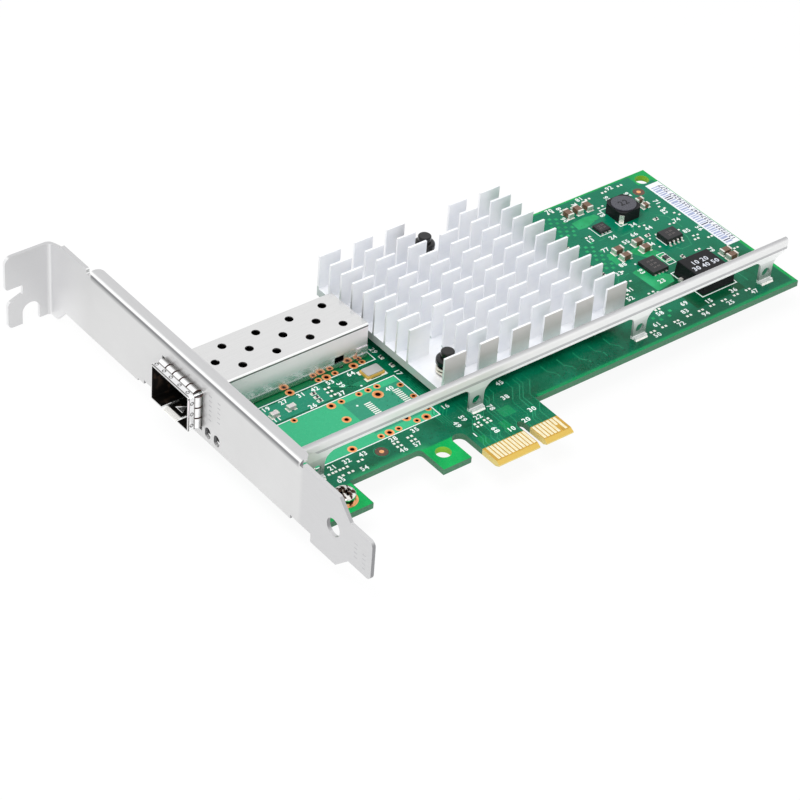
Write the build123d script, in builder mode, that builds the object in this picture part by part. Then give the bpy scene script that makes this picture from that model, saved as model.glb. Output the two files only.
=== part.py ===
from build123d import *
from math import cos, pi, sin
import os

os.makedirs("parts", exist_ok=True)

# A network interface card with one pluggable optical port, a one-lane edge connector and a full-height
# slot bracket. Sizes are in millimetres. X runs along the board from the bracket to the far end, Y from
# the tips of the edge contacts to the top edge of the board, and Z out of the component face. The origin
# is the middle of the key notch, level with the contact tips, on the component face.

# Printed circuit board
board_thickness = 1.57
board_left = -57.9
board_right = 90.0
board_bottom = 13.3
board_top = 68.9
notch_width = 1.9
notch_height = 8.9
left_tongue_length = 11.65
right_tongue_length = 7.65
bevel_length = 1.15
bevel_depth = 0.6
hook_slot_width = 3.7
hook_slot_top = 13.2
hook_tab_width = 7.7
hook_tab_bottom = 5.05
hook_hole_radius = 1.85
hook_hole_height = 9.8
hook_hole_inset = 3.6
hook_corner_radius = 1.2
foot_right = -43.3
foot_bottom = 4.75
corner_hole_radius = 1.8
corner_hole_inset = 3.1

# Edge contacts
contact_pitch = 1.0
contact_width = 0.7
contact_tip = 1.25
contact_end = 5.7
contact_from_notch = 0.55
short_contact_tip = 3.3
short_contact_from_first = 5.0
contact_thickness = 0.04
left_contacts = 11
right_contacts = 7

# Slot bracket
sheet = 0.86
bracket_gap = 0.5
bracket_top = 14.8
bracket_bottom = -2.5
bracket_bend = 0.9
bracket_corner = 0.4
tail_end = -14.9
tail_root = -7.4
tail_bottom = 0.25
tail_top = 10.42
tail_radius = 1.4
tail_shoulder = -3.2
tail_shoulder_corner = 0.6
foot_edge = -3.8
foot_edge_start = 5.6
upper_edge = -3.15
upper_edge_start = 70.4
lower_slant_below_tab = (6.3, 3.0)
upper_slant_below_tab = (4.9, 4.4)
upper_slant_top = 14.0
flange_start = 10.4
flange_end_below_tab = 16.5
flange_depth = 3.0
flange_bend = 0.34
flange_corner = 1.6
relief_width = 1.2
relief_depth = 1.2
screw_tab_height = 106.6
screw_tab_reach = 11.9
screw_tab_top = 12.9
screw_tab_bottom = -7.0
screw_slot_radius = 2.3
screw_slot_from_face = 5.2
screw_slot_depth = 5.3
side_notch_low = 1.55
side_notch_high = 3.95
side_notch_depth = 4.6
side_notch_slant = 1.6
lower_lobe_inset = 0.6
tab_corner = 2.0
lobe_corner = 1.2
tail_hole_radius = 2.2
tail_hole_place = (-1.85, 5.5)
light_slot_width = 2.1
light_slot_height = 2.9
light_places = (43.3, 39.95)
board_tab_width = 7.2
board_tab_reach = 15.2
board_tab_bend = 0.3
board_tab_corner = 1.0

# Screws that hold the board to the bracket
screw_x = -47.8
screw_heights = (9.2, 64.4)
screw_radius = 1.45
screw_clearance = 0.05
screw_board_clearance = 0.25
screw_head_radius = 2.5
screw_head_height = 2.1
screw_head_round = 0.6
screw_length = 4.0
screw_end_chamfer = 0.3
recess_depth = 1.1
recess_arm = 0.75
recess_reach = 1.5
recess_taper = 12

# Port cage
cage_front = -62.6
cage_back = -13.8
cage_low_side = 46.1
cage_width = 14.2
cage_height = 9.35
cage_wall = 0.3
cage_corner = 0.45
cage_floor_end = -28.2
vent_radius = 1.02
vent_pitch = 9.14
vent_row_pitch = 3.97
vent_columns = 4
vent_first = -18.6
latch_width = 4.8
latch_slit = 0.7
latch_length = 11.0
latch_lip_length = 1.3
latch_lip_drop = 0.35
latch_window_front = 2.5
latch_window_width = 2.8
latch_window_length = 2.4
cage_leg_width = 0.8
cage_leg_length = 2.7
cage_leg_hole_radius = 0.55
cage_leg_places = (-54.5, -45.3, -35.4, -29.1, -20.9)
cage_window_length = 2.6
cage_window_height = 1.7
cage_window_place = (-21.6, 2.5)
cage_ear_length = 3.0
cage_ear_height = 3.4
cage_ear_hole = 0.7

# Spring-finger collar round the mouth of the cage
collar_sheet = 0.2
collar_setback = 0.25
collar_band = 1.25
collar_bulge = 0.55
collar_finger_length = 2.1
collar_land = 1.0
collar_slit = 0.28
collar_top_fingers = 5
collar_side_fingers = 3
weld_mark_radius = 0.35
weld_mark_depth = 0.08
weld_mark_inset = 0.62
roof_weld_marks = (47.6, 50.7, 54.0, 56.6, 59.5)
side_weld_marks = (1.5, 4.6, 7.5)
port_clearance = 0.65

# Connector inside the cage
host_length = 12.0
host_width = 8.2
host_height = 5.6
host_from_back = 1.4
host_corner = 0.3
host_slot_width = 6.4
host_slot_low = 1.6
host_slot_high = 3.8
host_slot_depth = 8.0
host_pitch = 0.6
host_contacts_in_row = 10
host_contact_width = 0.3
host_contact_height = 0.2
host_contact_length = 6.0

# Port lights behind the slots of the bracket
light_length = 2.2
light_width = 1.6
light_height = 1.3
light_lens_radius = 0.5
light_lens_depth = 0.35
light_setback = 0.1

# Controller chip, thermal pad and heat sink
chip_side = 25.0
chip_height = 2.4
thermal_pad_height = 0.2
thermal_pad_inset = 0.5
sink_left = -11.4
sink_length = 53.0
sink_front = 21.95
sink_base_height = 2.0
fin_height = 9.0
fin_thickness = 0.55
fin_pitch = 4.17
fin_rows = 12
saw_gap = 4.07
saw_pitch = 9.27
saw_cuts = 5
missing_fins = 2

# Push pins and their springs
near_pin_inset = (5.3, 5.4)
far_pin_past_middle = 1.8
far_pin_from_edge = 3.47
pin_radius = 1.5
pin_hole_clearance = 0.15
pin_cap_radius = 2.6
pin_cap_height = 1.5
pin_cap_round = 0.8
pin_knob_radius = 1.6
pin_knob_height = 1.65
pin_knob_chamfer = 0.3
pin_tip_radius = 1.95
pin_tip_end_radius = 0.8
pin_tip_length = 2.5
pin_tip_land = 0.45
pin_play = 0.05
pin_tip_slit = 0.6
spring_wire_radius = 0.3
spring_radius = 2.15
spring_closed_turns = 1.0
spring_open_turns = 1.3
spring_open_pitch = 1.2
spring_play = 0.02
spring_points_a_turn = 16

# Stiffener bar
bar_sheet = 0.65
bar_face = 17.6
bar_right = 88.2
bar_top = 10.8
bar_web_bottom = 6.4
bar_hem_bottom = 7.9
bar_hem_gap = 0.1
bar_hem_left = -49.4
bar_hem_left_top = -52.9
bar_hem_overlap = 0.5
bar_leg_width = 4.0
bar_leg_places = (-48.9, -5.0, 43.2, 83.0)
bar_leg_small_radius = 2.0
bar_leg_large_radius = 3.0
bar_leg_hole_radius = 1.2
bar_leg_hole_height = 2.6
bar_foot_height = 0.7
bar_foot_reach = 0.9
solder_fillet = 0.35
solder_margin = 0.2

# Power parts at the far end
inductor_side = 6.9
inductor_place = (73.0, 57.3)
inductor_height = 2.9
inductor_corner = 1.1
core_radius = 3.15
core_height = 0.55
terminal_width = 1.2
terminal_height = 2.2
terminal_thickness = 0.15
terminal_reach = 0.7
core_gap = 0.1
core_round = 0.12
module_length = 9.9
module_width = 10.2
module_height = 3.9
module_draft = 4.0
module_place = (71.7, 26.5)
module_pin_width = 0.8
module_pin_length = 1.0
module_pin_height = 0.6
module_pin_spread = 2.2
module_corner = 0.2
memory_length = 4.9
memory_width = 3.9
memory_height = 1.45
memory_standoff = 0.15
memory_place = (75.75, 43.2)
memory_leads_on_side = 4
memory_lead_pitch = 1.27
memory_lead_width = 0.45
memory_lead_thickness = 0.22
memory_lead_span = 6.0
memory_lead_bend = 0.15
memory_lead_knee = 0.3
regulator_side = 3.2
regulator_height = 0.85
regulator_place = (64.2, 55.0)
power_chip_length = 4.9
power_chip_width = 5.6
power_chip_height = 1.0
power_chip_place = (64.35, 36.4)
lead_row_pitch = 1.15
lead_row_width = 0.5
lead_row_reach = 0.35
lead_row_height = 0.2
crystal_length = 4.8
crystal_width = 3.2
crystal_place = (-16.4, 40.6)
crystal_base_height = 0.65
crystal_lid_height = 0.3
crystal_lid_inset = 0.35
crystal_lid_corner = 0.4
body_corner = 0.12

# Ceramic chip capacitors: length, width and height, then places with their long axis along X or Y
large_capacitor = (2.8, 1.6, 1.3)
small_capacitor = (2.0, 1.25, 1.0)
capacitor_end = 0.45
end_stands_proud = 0.03
large_capacitors_along_x = (
    (67.5, 45.6), (67.5, 42.7), (61.2, 45.6), (61.2, 42.7), (83.0, 31.2), (83.0, 28.9),
)
large_capacitors_along_y = ((61.0, 63.7), (64.05, 63.7), (67.1, 63.7))
small_capacitors_along_x = ((79.9, 58.9), (79.6, 56.4), (-48.6, 20.3), (-39.1, 40.2), (-43.7, 40.1))

# Chip resistors
large_resistor = (2.0, 1.25, 0.5)
small_resistor = (1.0, 0.55, 0.35)
resistor_end = 0.22
large_resistors_along_y = ((69.4, 37.3),)
small_resistors_along_x = ((-31.9, 41.75), (-32.0, 40.35), (-32.1, 38.95), (78.3, 51.0), (72.0, 46.9))
small_resistors_along_y = (
    (-11.2, 44.0), (-10.9, 40.4), (52.2, 53.6), (51.8, 44.6), (52.4, 40.4), (73.3, 35.6),
)

# Bare tinned pads, as pairs along X, and two rows of an empty chip place
pad_thickness = 0.03
pad_side = 0.6
pad_pair_pitch = 1.05
pad_margin = 0.2
crystal_pad = (1.5, 1.3)
pad_pairs = (
    (-45.2, 17.4), (-43.3, 17.4), (-41.3, 17.4), (-43.8, 15.55), (-41.2, 15.55), (-37.2, 17.5),
    (-27.1, 18.0), (-27.1, 16.7), (-23.3, 18.0), (-23.3, 16.65), (-8.1, 13.5), (-5.4, 13.5),
    (-8.1, 12.5), (-5.4, 12.5), (47.25, 17.25), (50.8, 17.25), (54.6, 17.25), (58.6, 17.25),
    (62.3, 17.25), (65.9, 17.25), (69.6, 17.25), (73.5, 17.25), (77.3, 17.25), (53.9, 23.1),
    (-28.2, 41.7), (-28.4, 40.35), (-28.5, 38.95), (59.3, 54.2), (69.8, 66.6), (75.2, 66.7),
    (80.4, 66.8), (81.2, 39.4), (78.3, 35.9), (84.6, 38.3),
)
empty_row_pads = 8
empty_row_pitch = 0.65
empty_pad_length = 1.8
empty_pad_width = 0.34
empty_row_places = ((-23.9, 30.15), (-15.7, 30.6))

# Plated holes and their copper rings: ring radius, hole radius, places
ring_thickness = 0.03
small_ring = (0.83, 0.47)
medium_ring = (1.1, 0.57)
large_ring = (1.35, 0.78)
small_ring_places = (
    (-28.35, 36.1), (-23.5, 36.1), (-20.95, 36.1), (-18.45, 36.1), (-13.7, 33.7), (-13.7, 28.9),
    (-28.4, 21.6), (-23.55, 21.6), (-18.45, 21.6), (-13.8, 23.55), (-28.0, 45.1), (-23.4, 45.1),
    (-15.85, 45.05), (-41.0, 36.5),
)
medium_ring_places = (
    (-31.15, 36.1), (-31.2, 30.4), (-36.35, 21.5), (-26.05, 21.6), (-15.9, 21.5), (-19.9, 23.6),
    (-36.0, 44.95), (-25.9, 44.95), (-18.3, 44.95),
)
large_ring_places = ((-20.0, 33.7),)
screw_ring_radius = 3.1

# Alignment dots and the strip label
dot_radius = 0.55
dot_places = ((82.6, 62.15), (-31.5, 17.35))
label_thickness = 0.1
label_width = 4.1
label_from_edge = 0.3
label_bottom = 33.15
label_top = 63.1

# Places that follow from the sizes above
board_back = -board_thickness
left_tongue_end = -notch_width / 2 - left_tongue_length
right_tongue_end = notch_width / 2 + right_tongue_length
hook_tab_right = left_tongue_end - hook_slot_width
hook_tab_left = hook_tab_right - hook_tab_width
hook_hole_x = hook_tab_left + hook_hole_inset
contact_start = notch_width / 2 + contact_from_notch
bracket_inner = board_left - bracket_gap
bracket_outer = bracket_inner - sheet
bracket_middle = bracket_outer + sheet / 2
screw_tab_middle = screw_tab_height + sheet / 2
lower_slant = [screw_tab_height - below for below in lower_slant_below_tab]
upper_slant = [screw_tab_height - below for below in upper_slant_below_tab]
flange_end = screw_tab_height - flange_end_below_tab
screw_tab_end = bracket_outer - screw_tab_reach
screw_slot_x = bracket_outer - screw_slot_from_face
screw_slot_z = screw_tab_bottom + screw_slot_depth - screw_slot_radius
board_tab_middle = board_back - sheet / 2
board_tab_bend_top = board_tab_middle + sheet / 2 + board_tab_bend
board_hole_radius = screw_radius + screw_board_clearance
cage_high_side = cage_low_side + cage_width
cage_middle = cage_low_side + cage_width / 2
collar_front = cage_front + collar_setback
latch_half = latch_width / 2 + latch_slit
sink_base = chip_height + thermal_pad_height
sink_base_top = sink_base + sink_base_height
sink_depth = fin_pitch * (fin_rows - 1) + fin_thickness
sink_middle_x = sink_left + sink_length / 2
sink_middle_y = sink_front + sink_depth / 2
pin_hole_radius = pin_radius + pin_hole_clearance
spring_closed_pitch = 2 * spring_wire_radius + spring_play
spring_rise = spring_closed_turns * spring_closed_pitch + spring_open_turns * spring_open_pitch
spring_height = spring_rise + 2 * spring_wire_radius
cap_bottom = sink_base_top + spring_height
pins = (
    (sink_left + near_pin_inset[0], sink_front + near_pin_inset[1]),
    (sink_middle_x + far_pin_past_middle, sink_front + sink_depth - far_pin_from_edge),
)
far_fins_edge = sink_front + fin_pitch * (fin_rows - missing_fins - 0.5)
screw_places = [(screw_x, height) for height in screw_heights]
ring_groups = (
    (small_ring, small_ring_places),
    (medium_ring, medium_ring_places),
    (large_ring, large_ring_places),
    ((screw_ring_radius, board_hole_radius), screw_places),
)


def save(part, name):
    """Give the finished piece its name and write it."""
    part.label = name
    export_step(part, f"parts/{name}.step")


def chip_body(length, width, height, place, base):
    """A moulded chip: a slab with softened top edges, standing at its place."""
    with BuildPart() as slab:
        with BuildSketch(Plane.XY.offset(base)):
            with Locations(place):
                Rectangle(length, width)
        extrude(amount=height)
        fillet(slab.edges().group_by(Axis.Z)[-1], body_corner)
    return slab.part


def end_cap_pieces(size, end, places, along_x):
    """Bodies and metal ends of chip parts that stand on the board with their long axis along X or Y."""
    length, width, height = size
    body_length = length - 2 * end
    body_size = (body_length, width - 2 * end_stands_proud, height - end_stands_proud)
    cap_size = (end, width, height)
    if not along_x:
        body_size = (body_size[1], body_size[0], body_size[2])
        cap_size = (cap_size[1], cap_size[0], cap_size[2])
    shift = (body_length + end) / 2
    bodies = []
    caps = []
    for x, y in places:
        bodies.append((x, y, body_size))
        for side in (-shift, shift):
            caps.append((x + side, y, cap_size) if along_x else (x, y + side, cap_size))
    return bodies, caps


def stand_blocks(blocks, base):
    """Separate blocks that stand on the board."""
    with BuildPart() as group:
        for x, y, (length, width, height) in blocks:
            with Locations((x, y, base)):
                Box(length, width, height, align=(Align.CENTER, Align.CENTER, Align.MIN))
    return group.part


# Printed circuit board: one outline with the tongues, the hook tab and the foot
with BuildPart() as board:
    with BuildSketch():
        with Locations((board_left, board_bottom)):
            Rectangle(board_right - board_left, board_top - board_bottom, align=Align.MIN)
        with Locations((board_left, foot_bottom)):
            Rectangle(foot_right - board_left, board_bottom - foot_bottom, align=Align.MIN)
        with Locations((hook_tab_left, hook_tab_bottom)):
            Rectangle(right_tongue_end - hook_tab_left, board_bottom - hook_tab_bottom, align=Align.MIN)
        with Locations((left_tongue_end, 0)):
            Rectangle(right_tongue_end - left_tongue_end, board_bottom, align=Align.MIN)
        with Locations((hook_tab_right, 0)):
            slot_height = hook_slot_top - hook_slot_width / 2
            Rectangle(hook_slot_width, slot_height, align=Align.MIN, mode=Mode.SUBTRACT)
        with Locations((hook_tab_right + hook_slot_width / 2, hook_slot_top - hook_slot_width / 2)):
            Circle(hook_slot_width / 2, mode=Mode.SUBTRACT)
        with Locations((-notch_width / 2, 0)):
            Rectangle(notch_width, notch_height - notch_width / 2, align=Align.MIN, mode=Mode.SUBTRACT)
        with Locations((0, notch_height - notch_width / 2)):
            Circle(notch_width / 2, mode=Mode.SUBTRACT)
    extrude(amount=-board_thickness)
    upright_edges = board.edges().filter_by(Axis.Z)
    fillet(upright_edges.sort_by_distance((hook_tab_left, board_bottom, 0))[0], hook_corner_radius)
    with BuildSketch(Plane.YZ.offset(left_tongue_end)):
        with BuildLine():
            Polyline((0, 0), (bevel_length, 0), (0, -bevel_depth), close=True)
        make_face()
        with BuildLine():
            Polyline(
                (0, board_back), (bevel_length, board_back), (0, board_back + bevel_depth), close=True
            )
        make_face()
    extrude(amount=right_tongue_end - left_tongue_end, mode=Mode.SUBTRACT)
    with BuildSketch():
        with Locations((hook_hole_x, hook_hole_height)):
            Circle(hook_hole_radius)
        with Locations((board_right - corner_hole_inset, board_top - corner_hole_inset)):
            Circle(corner_hole_radius)
        with Locations(pins):
            Circle(pin_hole_radius)
        with Locations([(x, y) for x in cage_leg_places
                        for y in (cage_low_side + cage_wall / 2, cage_high_side - cage_wall / 2)]):
            Circle(cage_leg_hole_radius)
        for (ring, hole), places in ring_groups:
            with Locations(places):
                Circle(hole)
    extrude(amount=-board_thickness, mode=Mode.SUBTRACT)
save(board.part, "board")

# Gold edge contacts on both faces. The last but one on the component face is short.
left_places = [-contact_start - contact_pitch * k for k in range(left_contacts)]
right_places = [contact_start + contact_pitch * k for k in range(right_contacts)]
short_contact_x = right_places[0] + short_contact_from_first
for name, base, has_short_one in (("edge_contacts_front", 0, True),
                                  ("edge_contacts_back", board_back - contact_thickness, False)):
    with BuildPart() as contacts:
        with BuildSketch(Plane.XY.offset(base)):
            for place in left_places + right_places:
                is_short = has_short_one and abs(place - short_contact_x) < contact_pitch / 2
                tip = short_contact_tip if is_short else contact_tip
                with Locations((place, tip)):
                    Rectangle(contact_width, contact_end - tip, align=(Align.CENTER, Align.MIN))
        extrude(amount=contact_thickness)
    save(contacts.part, name)

# Slot bracket: the outline of its long face, seen from the board's left end, with a radius for each corner
face_outline = (
    ((screw_tab_middle + sheet, screw_tab_bottom), 0),
    ((lower_slant[1], screw_tab_bottom), bracket_corner),
    ((lower_slant[0], upper_edge), bracket_corner),
    ((upper_edge_start, upper_edge), bracket_corner / 2),
    ((upper_edge_start, bracket_bottom), bracket_corner / 2),
    ((foot_edge_start, bracket_bottom), bracket_corner),
    ((foot_edge_start, foot_edge), bracket_corner),
    ((tail_shoulder, foot_edge), bracket_corner),
    ((tail_root, tail_bottom), bracket_corner),
    ((tail_end, tail_bottom), tail_radius),
    ((tail_end, tail_top), tail_radius),
    ((tail_root, tail_top), bracket_corner),
    ((tail_shoulder, bracket_top), tail_shoulder_corner),
    ((flange_start - relief_width, bracket_top), bracket_corner / 2),
    ((flange_start - relief_width, bracket_top - relief_depth), bracket_corner),
    ((flange_end + relief_width, bracket_top - relief_depth), bracket_corner),
    ((flange_end + relief_width, bracket_top), bracket_corner),
    ((upper_slant[0], bracket_top), bracket_corner / 2),
    ((upper_slant[1], upper_slant_top), bracket_corner / 2),
    ((screw_tab_height - bracket_corner, screw_tab_top), bracket_corner),
    ((screw_tab_middle + sheet, screw_tab_top), 0),
)
with BuildPart() as bracket_face:
    with BuildSketch(Plane.YZ.offset(bracket_outer)):
        with BuildLine():
            FilletPolyline(
                *[corner for corner, radius in face_outline],
                radius=[radius for corner, radius in face_outline],
                close=True,
            )
        make_face()
    extrude(amount=2 * sheet)

# The outline of the screw tab, with its side notch and its open screw slot
tab_outline = (
    ((bracket_outer + sheet, screw_tab_top), 0),
    ((screw_tab_end, screw_tab_top), tab_corner),
    ((screw_tab_end, side_notch_high), 2 * bracket_corner),
    ((screw_tab_end + side_notch_depth, side_notch_high), bracket_corner),
    ((screw_tab_end + side_notch_depth, side_notch_low), bracket_corner),
    ((screw_tab_end + lower_lobe_inset, side_notch_low - side_notch_slant), lobe_corner),
    ((screw_tab_end + lower_lobe_inset, screw_tab_bottom), lobe_corner),
    ((bracket_outer + sheet, screw_tab_bottom), 0),
)
with BuildPart() as bracket_tab:
    with BuildSketch(Plane.XZ.offset(-screw_tab_height + sheet)):
        with BuildLine():
            FilletPolyline(
                *[corner for corner, radius in tab_outline],
                radius=[radius for corner, radius in tab_outline],
                close=True,
            )
        make_face()
        with Locations((screw_slot_x, screw_slot_z)):
            Circle(screw_slot_radius, mode=Mode.SUBTRACT)
            slot_run = screw_slot_z - screw_tab_bottom + sheet
            Rectangle(2 * screw_slot_radius, slot_run, align=(Align.CENTER, Align.MAX), mode=Mode.SUBTRACT)
    extrude(amount=-3 * sheet)

# The sheet follows one folded line in plan, and the two outlines trim it
with BuildPart() as slot_bracket:
    with BuildSketch(Plane.XY.offset(screw_tab_bottom - sheet)):
        with BuildLine():
            FilletPolyline(
                (bracket_middle, tail_end - sheet),
                (bracket_middle, screw_tab_middle),
                (screw_tab_end - sheet, screw_tab_middle),
                radius=bracket_bend + sheet / 2,
            )
        trace(line_width=sheet)
    extrude(amount=bracket_top - screw_tab_bottom + 2 * sheet)
    add(bracket_face.part + bracket_tab.part, mode=Mode.INTERSECT)
    # Flange folded along the upper edge
    with BuildSketch(Plane.XZ.offset(-flange_start)):
        with BuildLine():
            FilletPolyline(
                (bracket_middle, bracket_top - relief_depth - sheet),
                (bracket_middle, bracket_top - sheet / 2),
                (bracket_outer + flange_depth, bracket_top - sheet / 2),
                radius=flange_bend + sheet / 2,
            )
        trace(line_width=sheet)
    extrude(amount=-(flange_end - flange_start))
    fillet(slot_bracket.edges().filter_by(Axis.Z).group_by(Axis.X)[-1], flange_corner)
    # Two tabs folded in under the board, each with a hole for its screw
    with BuildSketch(Plane.YZ.offset(bracket_outer)):
        with Locations([(height, board_tab_bend_top) for height in screw_heights]):
            Rectangle(board_tab_width, 3 * sheet, align=(Align.CENTER, Align.MAX))
    extrude(amount=sheet, mode=Mode.SUBTRACT)
    for height in screw_heights:
        with BuildSketch(Plane.XZ.offset(-(height - board_tab_width / 2))):
            with BuildLine():
                FilletPolyline(
                    (bracket_middle, board_tab_bend_top + sheet),
                    (bracket_middle, board_tab_middle),
                    (bracket_inner + board_tab_reach, board_tab_middle),
                    radius=board_tab_bend + sheet / 2,
                )
            trace(line_width=sheet)
        extrude(amount=-board_tab_width)
    fillet(slot_bracket.edges().filter_by(Axis.Z).group_by(Axis.X)[-1], board_tab_corner)
    with BuildSketch(Plane.XY.offset(board_back)):
        with Locations(screw_places):
            Circle(screw_radius + screw_clearance)
    extrude(amount=-2 * sheet, mode=Mode.SUBTRACT)
    # Openings for the port, the lights and the tail screw
    with BuildSketch(Plane.YZ.offset(bracket_outer - sheet)):
        with Locations((cage_middle, cage_height / 2)):
            Rectangle(cage_width + 2 * port_clearance, cage_height + 2 * port_clearance)
        with Locations([(place, 0) for place in light_places]):
            SlotOverall(light_slot_height, light_slot_width, rotation=90)
        with Locations(tail_hole_place):
            Circle(tail_hole_radius)
    extrude(amount=3 * sheet, mode=Mode.SUBTRACT)
save(slot_bracket.part, "slot_bracket")

# Pan-head screws with a crossed recess. They stand on the copper rings of the board.
with BuildPart() as bracket_screws:
    for height in screw_heights:
        with BuildSketch(Plane.XZ.offset(-height)):
            with BuildLine():
                FilletPolyline(
                    (screw_x, ring_thickness + screw_head_height),
                    (screw_x + screw_head_radius, ring_thickness + screw_head_height),
                    (screw_x + screw_head_radius, ring_thickness),
                    (screw_x + screw_radius, ring_thickness),
                    (screw_x + screw_radius, screw_end_chamfer - screw_length),
                    (screw_x + screw_radius - screw_end_chamfer, -screw_length),
                    (screw_x, -screw_length),
                    radius=[0, screw_head_round, 0, 0, 0, 0, 0],
                    close=True,
                )
            make_face()
        revolve(axis=Axis((screw_x, height, 0), (0, 0, 1)))
    with BuildSketch(Plane.XY.offset(ring_thickness + screw_head_height)):
        with Locations(screw_places):
            Rectangle(2 * recess_reach, recess_arm)
            Rectangle(recess_arm, 2 * recess_reach)
    extrude(amount=-recess_depth, taper=recess_taper, mode=Mode.SUBTRACT)
save(bracket_screws.part, "bracket_screws")

# Port cage: a folded sheet box, open at the mouth and over the connector
with BuildPart() as port_cage:
    with BuildSketch(Plane.YZ.offset(cage_front)):
        with Locations((cage_middle, cage_height / 2)):
            RectangleRounded(cage_width, cage_height, cage_corner)
            inner_corner = cage_corner - cage_wall
            RectangleRounded(
                cage_width - 2 * cage_wall, cage_height - 2 * cage_wall, inner_corner, mode=Mode.SUBTRACT
            )
    extrude(amount=cage_back - cage_front)
    with BuildSketch(Plane.YZ.offset(cage_back - cage_wall)):
        with Locations((cage_middle, cage_height / 2)):
            RectangleRounded(cage_width - cage_wall, cage_height - cage_wall, inner_corner)
    extrude(amount=cage_wall)
    # The floor ends before the connector
    with BuildSketch(Plane.XY):
        with Locations((cage_floor_end, cage_low_side + cage_wall)):
            floor_gap = cage_back - cage_wall - cage_floor_end
            Rectangle(floor_gap, cage_width - 2 * cage_wall, align=Align.MIN)
    extrude(amount=cage_wall, mode=Mode.SUBTRACT)
    # Latch tongue in the floor: two slits from the mouth, a lip bent down and a triangular window
    with BuildSketch(Plane.XY):
        with Locations((cage_front, cage_middle)):
            latch_align = (Align.MIN, Align.CENTER)
            Rectangle(latch_length, 2 * latch_half, align=latch_align)
            with Locations((latch_lip_length, 0)):
                Rectangle(latch_length - latch_lip_length, latch_width, align=latch_align, mode=Mode.SUBTRACT)
        with BuildLine():
            window_front = cage_front + latch_window_front
            Polyline(
                (window_front, cage_middle - latch_window_width / 2),
                (window_front, cage_middle + latch_window_width / 2),
                (window_front + latch_window_length, cage_middle),
                close=True,
            )
        make_face()
    extrude(amount=cage_wall, mode=Mode.SUBTRACT)
    with BuildSketch(Plane.XZ.offset(-(cage_middle - latch_width / 2))):
        with BuildLine():
            lip_root = cage_front + latch_lip_length
            Polyline((cage_front, -latch_lip_drop), (lip_root, 0), (lip_root, cage_wall),
                     (cage_front, cage_wall - latch_lip_drop), close=True)
        make_face()
    extrude(amount=-latch_width)
    # Vent holes in the roof: three staggered rows
    with BuildSketch(Plane.XY.offset(cage_height)):
        for row, shift in ((-1, 0), (0, -vent_pitch / 2), (1, 0)):
            with Locations([(vent_first + shift - vent_pitch * k, cage_middle + row * vent_row_pitch)
                            for k in range(vent_columns)]):
                Circle(vent_radius)
    extrude(amount=-2 * cage_wall, mode=Mode.SUBTRACT)
    # Window low in each side wall, and a folded ear at the rear corner
    with BuildSketch(Plane.XZ.offset(-cage_low_side + cage_wall)):
        with Locations(cage_window_place):
            Rectangle(cage_window_length, cage_window_height)
    extrude(amount=-(cage_width + 2 * cage_wall), mode=Mode.SUBTRACT)
    with BuildSketch(Plane.XZ.offset(-cage_low_side + cage_wall)):
        with Locations((cage_back, cage_wall)):
            Rectangle(cage_ear_length, cage_ear_height - cage_wall, align=(Align.MAX, Align.MIN))
        with Locations((cage_back - cage_ear_length / 2, cage_ear_height / 2)):
            Rectangle(cage_ear_hole, cage_ear_hole, mode=Mode.SUBTRACT)
    extrude(amount=-cage_wall)
    # Press-fit legs
    for side in (cage_low_side, cage_high_side - cage_wall):
        with BuildSketch(Plane.XZ.offset(-side)):
            with Locations([(x, cage_wall) for x in cage_leg_places]):
                Rectangle(cage_leg_width, cage_leg_length + cage_wall, align=(Align.CENTER, Align.MAX))
        extrude(amount=-cage_wall)
save(port_cage.part, "port_cage")


def collar_side(width, fingers, place, turn):
    """One side of the collar: bulging fingers behind the flat band, made flat and then turned into place."""
    half = collar_sheet / 2
    end = collar_band + collar_finger_length
    with BuildPart() as side:
        with BuildSketch(Plane.XZ):
            with BuildLine():
                Line((0, half), (collar_band, half))
                ThreePointArc(
                    (collar_band, half),
                    (collar_band + collar_finger_length / 2, half + collar_bulge),
                    (end, half),
                )
                Line((end, half), (end + collar_land, half))
            trace(line_width=collar_sheet)
        extrude(amount=width / 2, both=True)
        with BuildSketch(Plane.XY):
            with Locations([(collar_band, width * (k / fingers - 0.5)) for k in range(1, fingers)]):
                Rectangle(end + collar_land, collar_slit, align=(Align.MIN, Align.CENTER))
        extrude(amount=2 * collar_bulge, mode=Mode.SUBTRACT)
    return side.part.moved(Location((collar_front, *place), (turn, 0, 0)))


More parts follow.
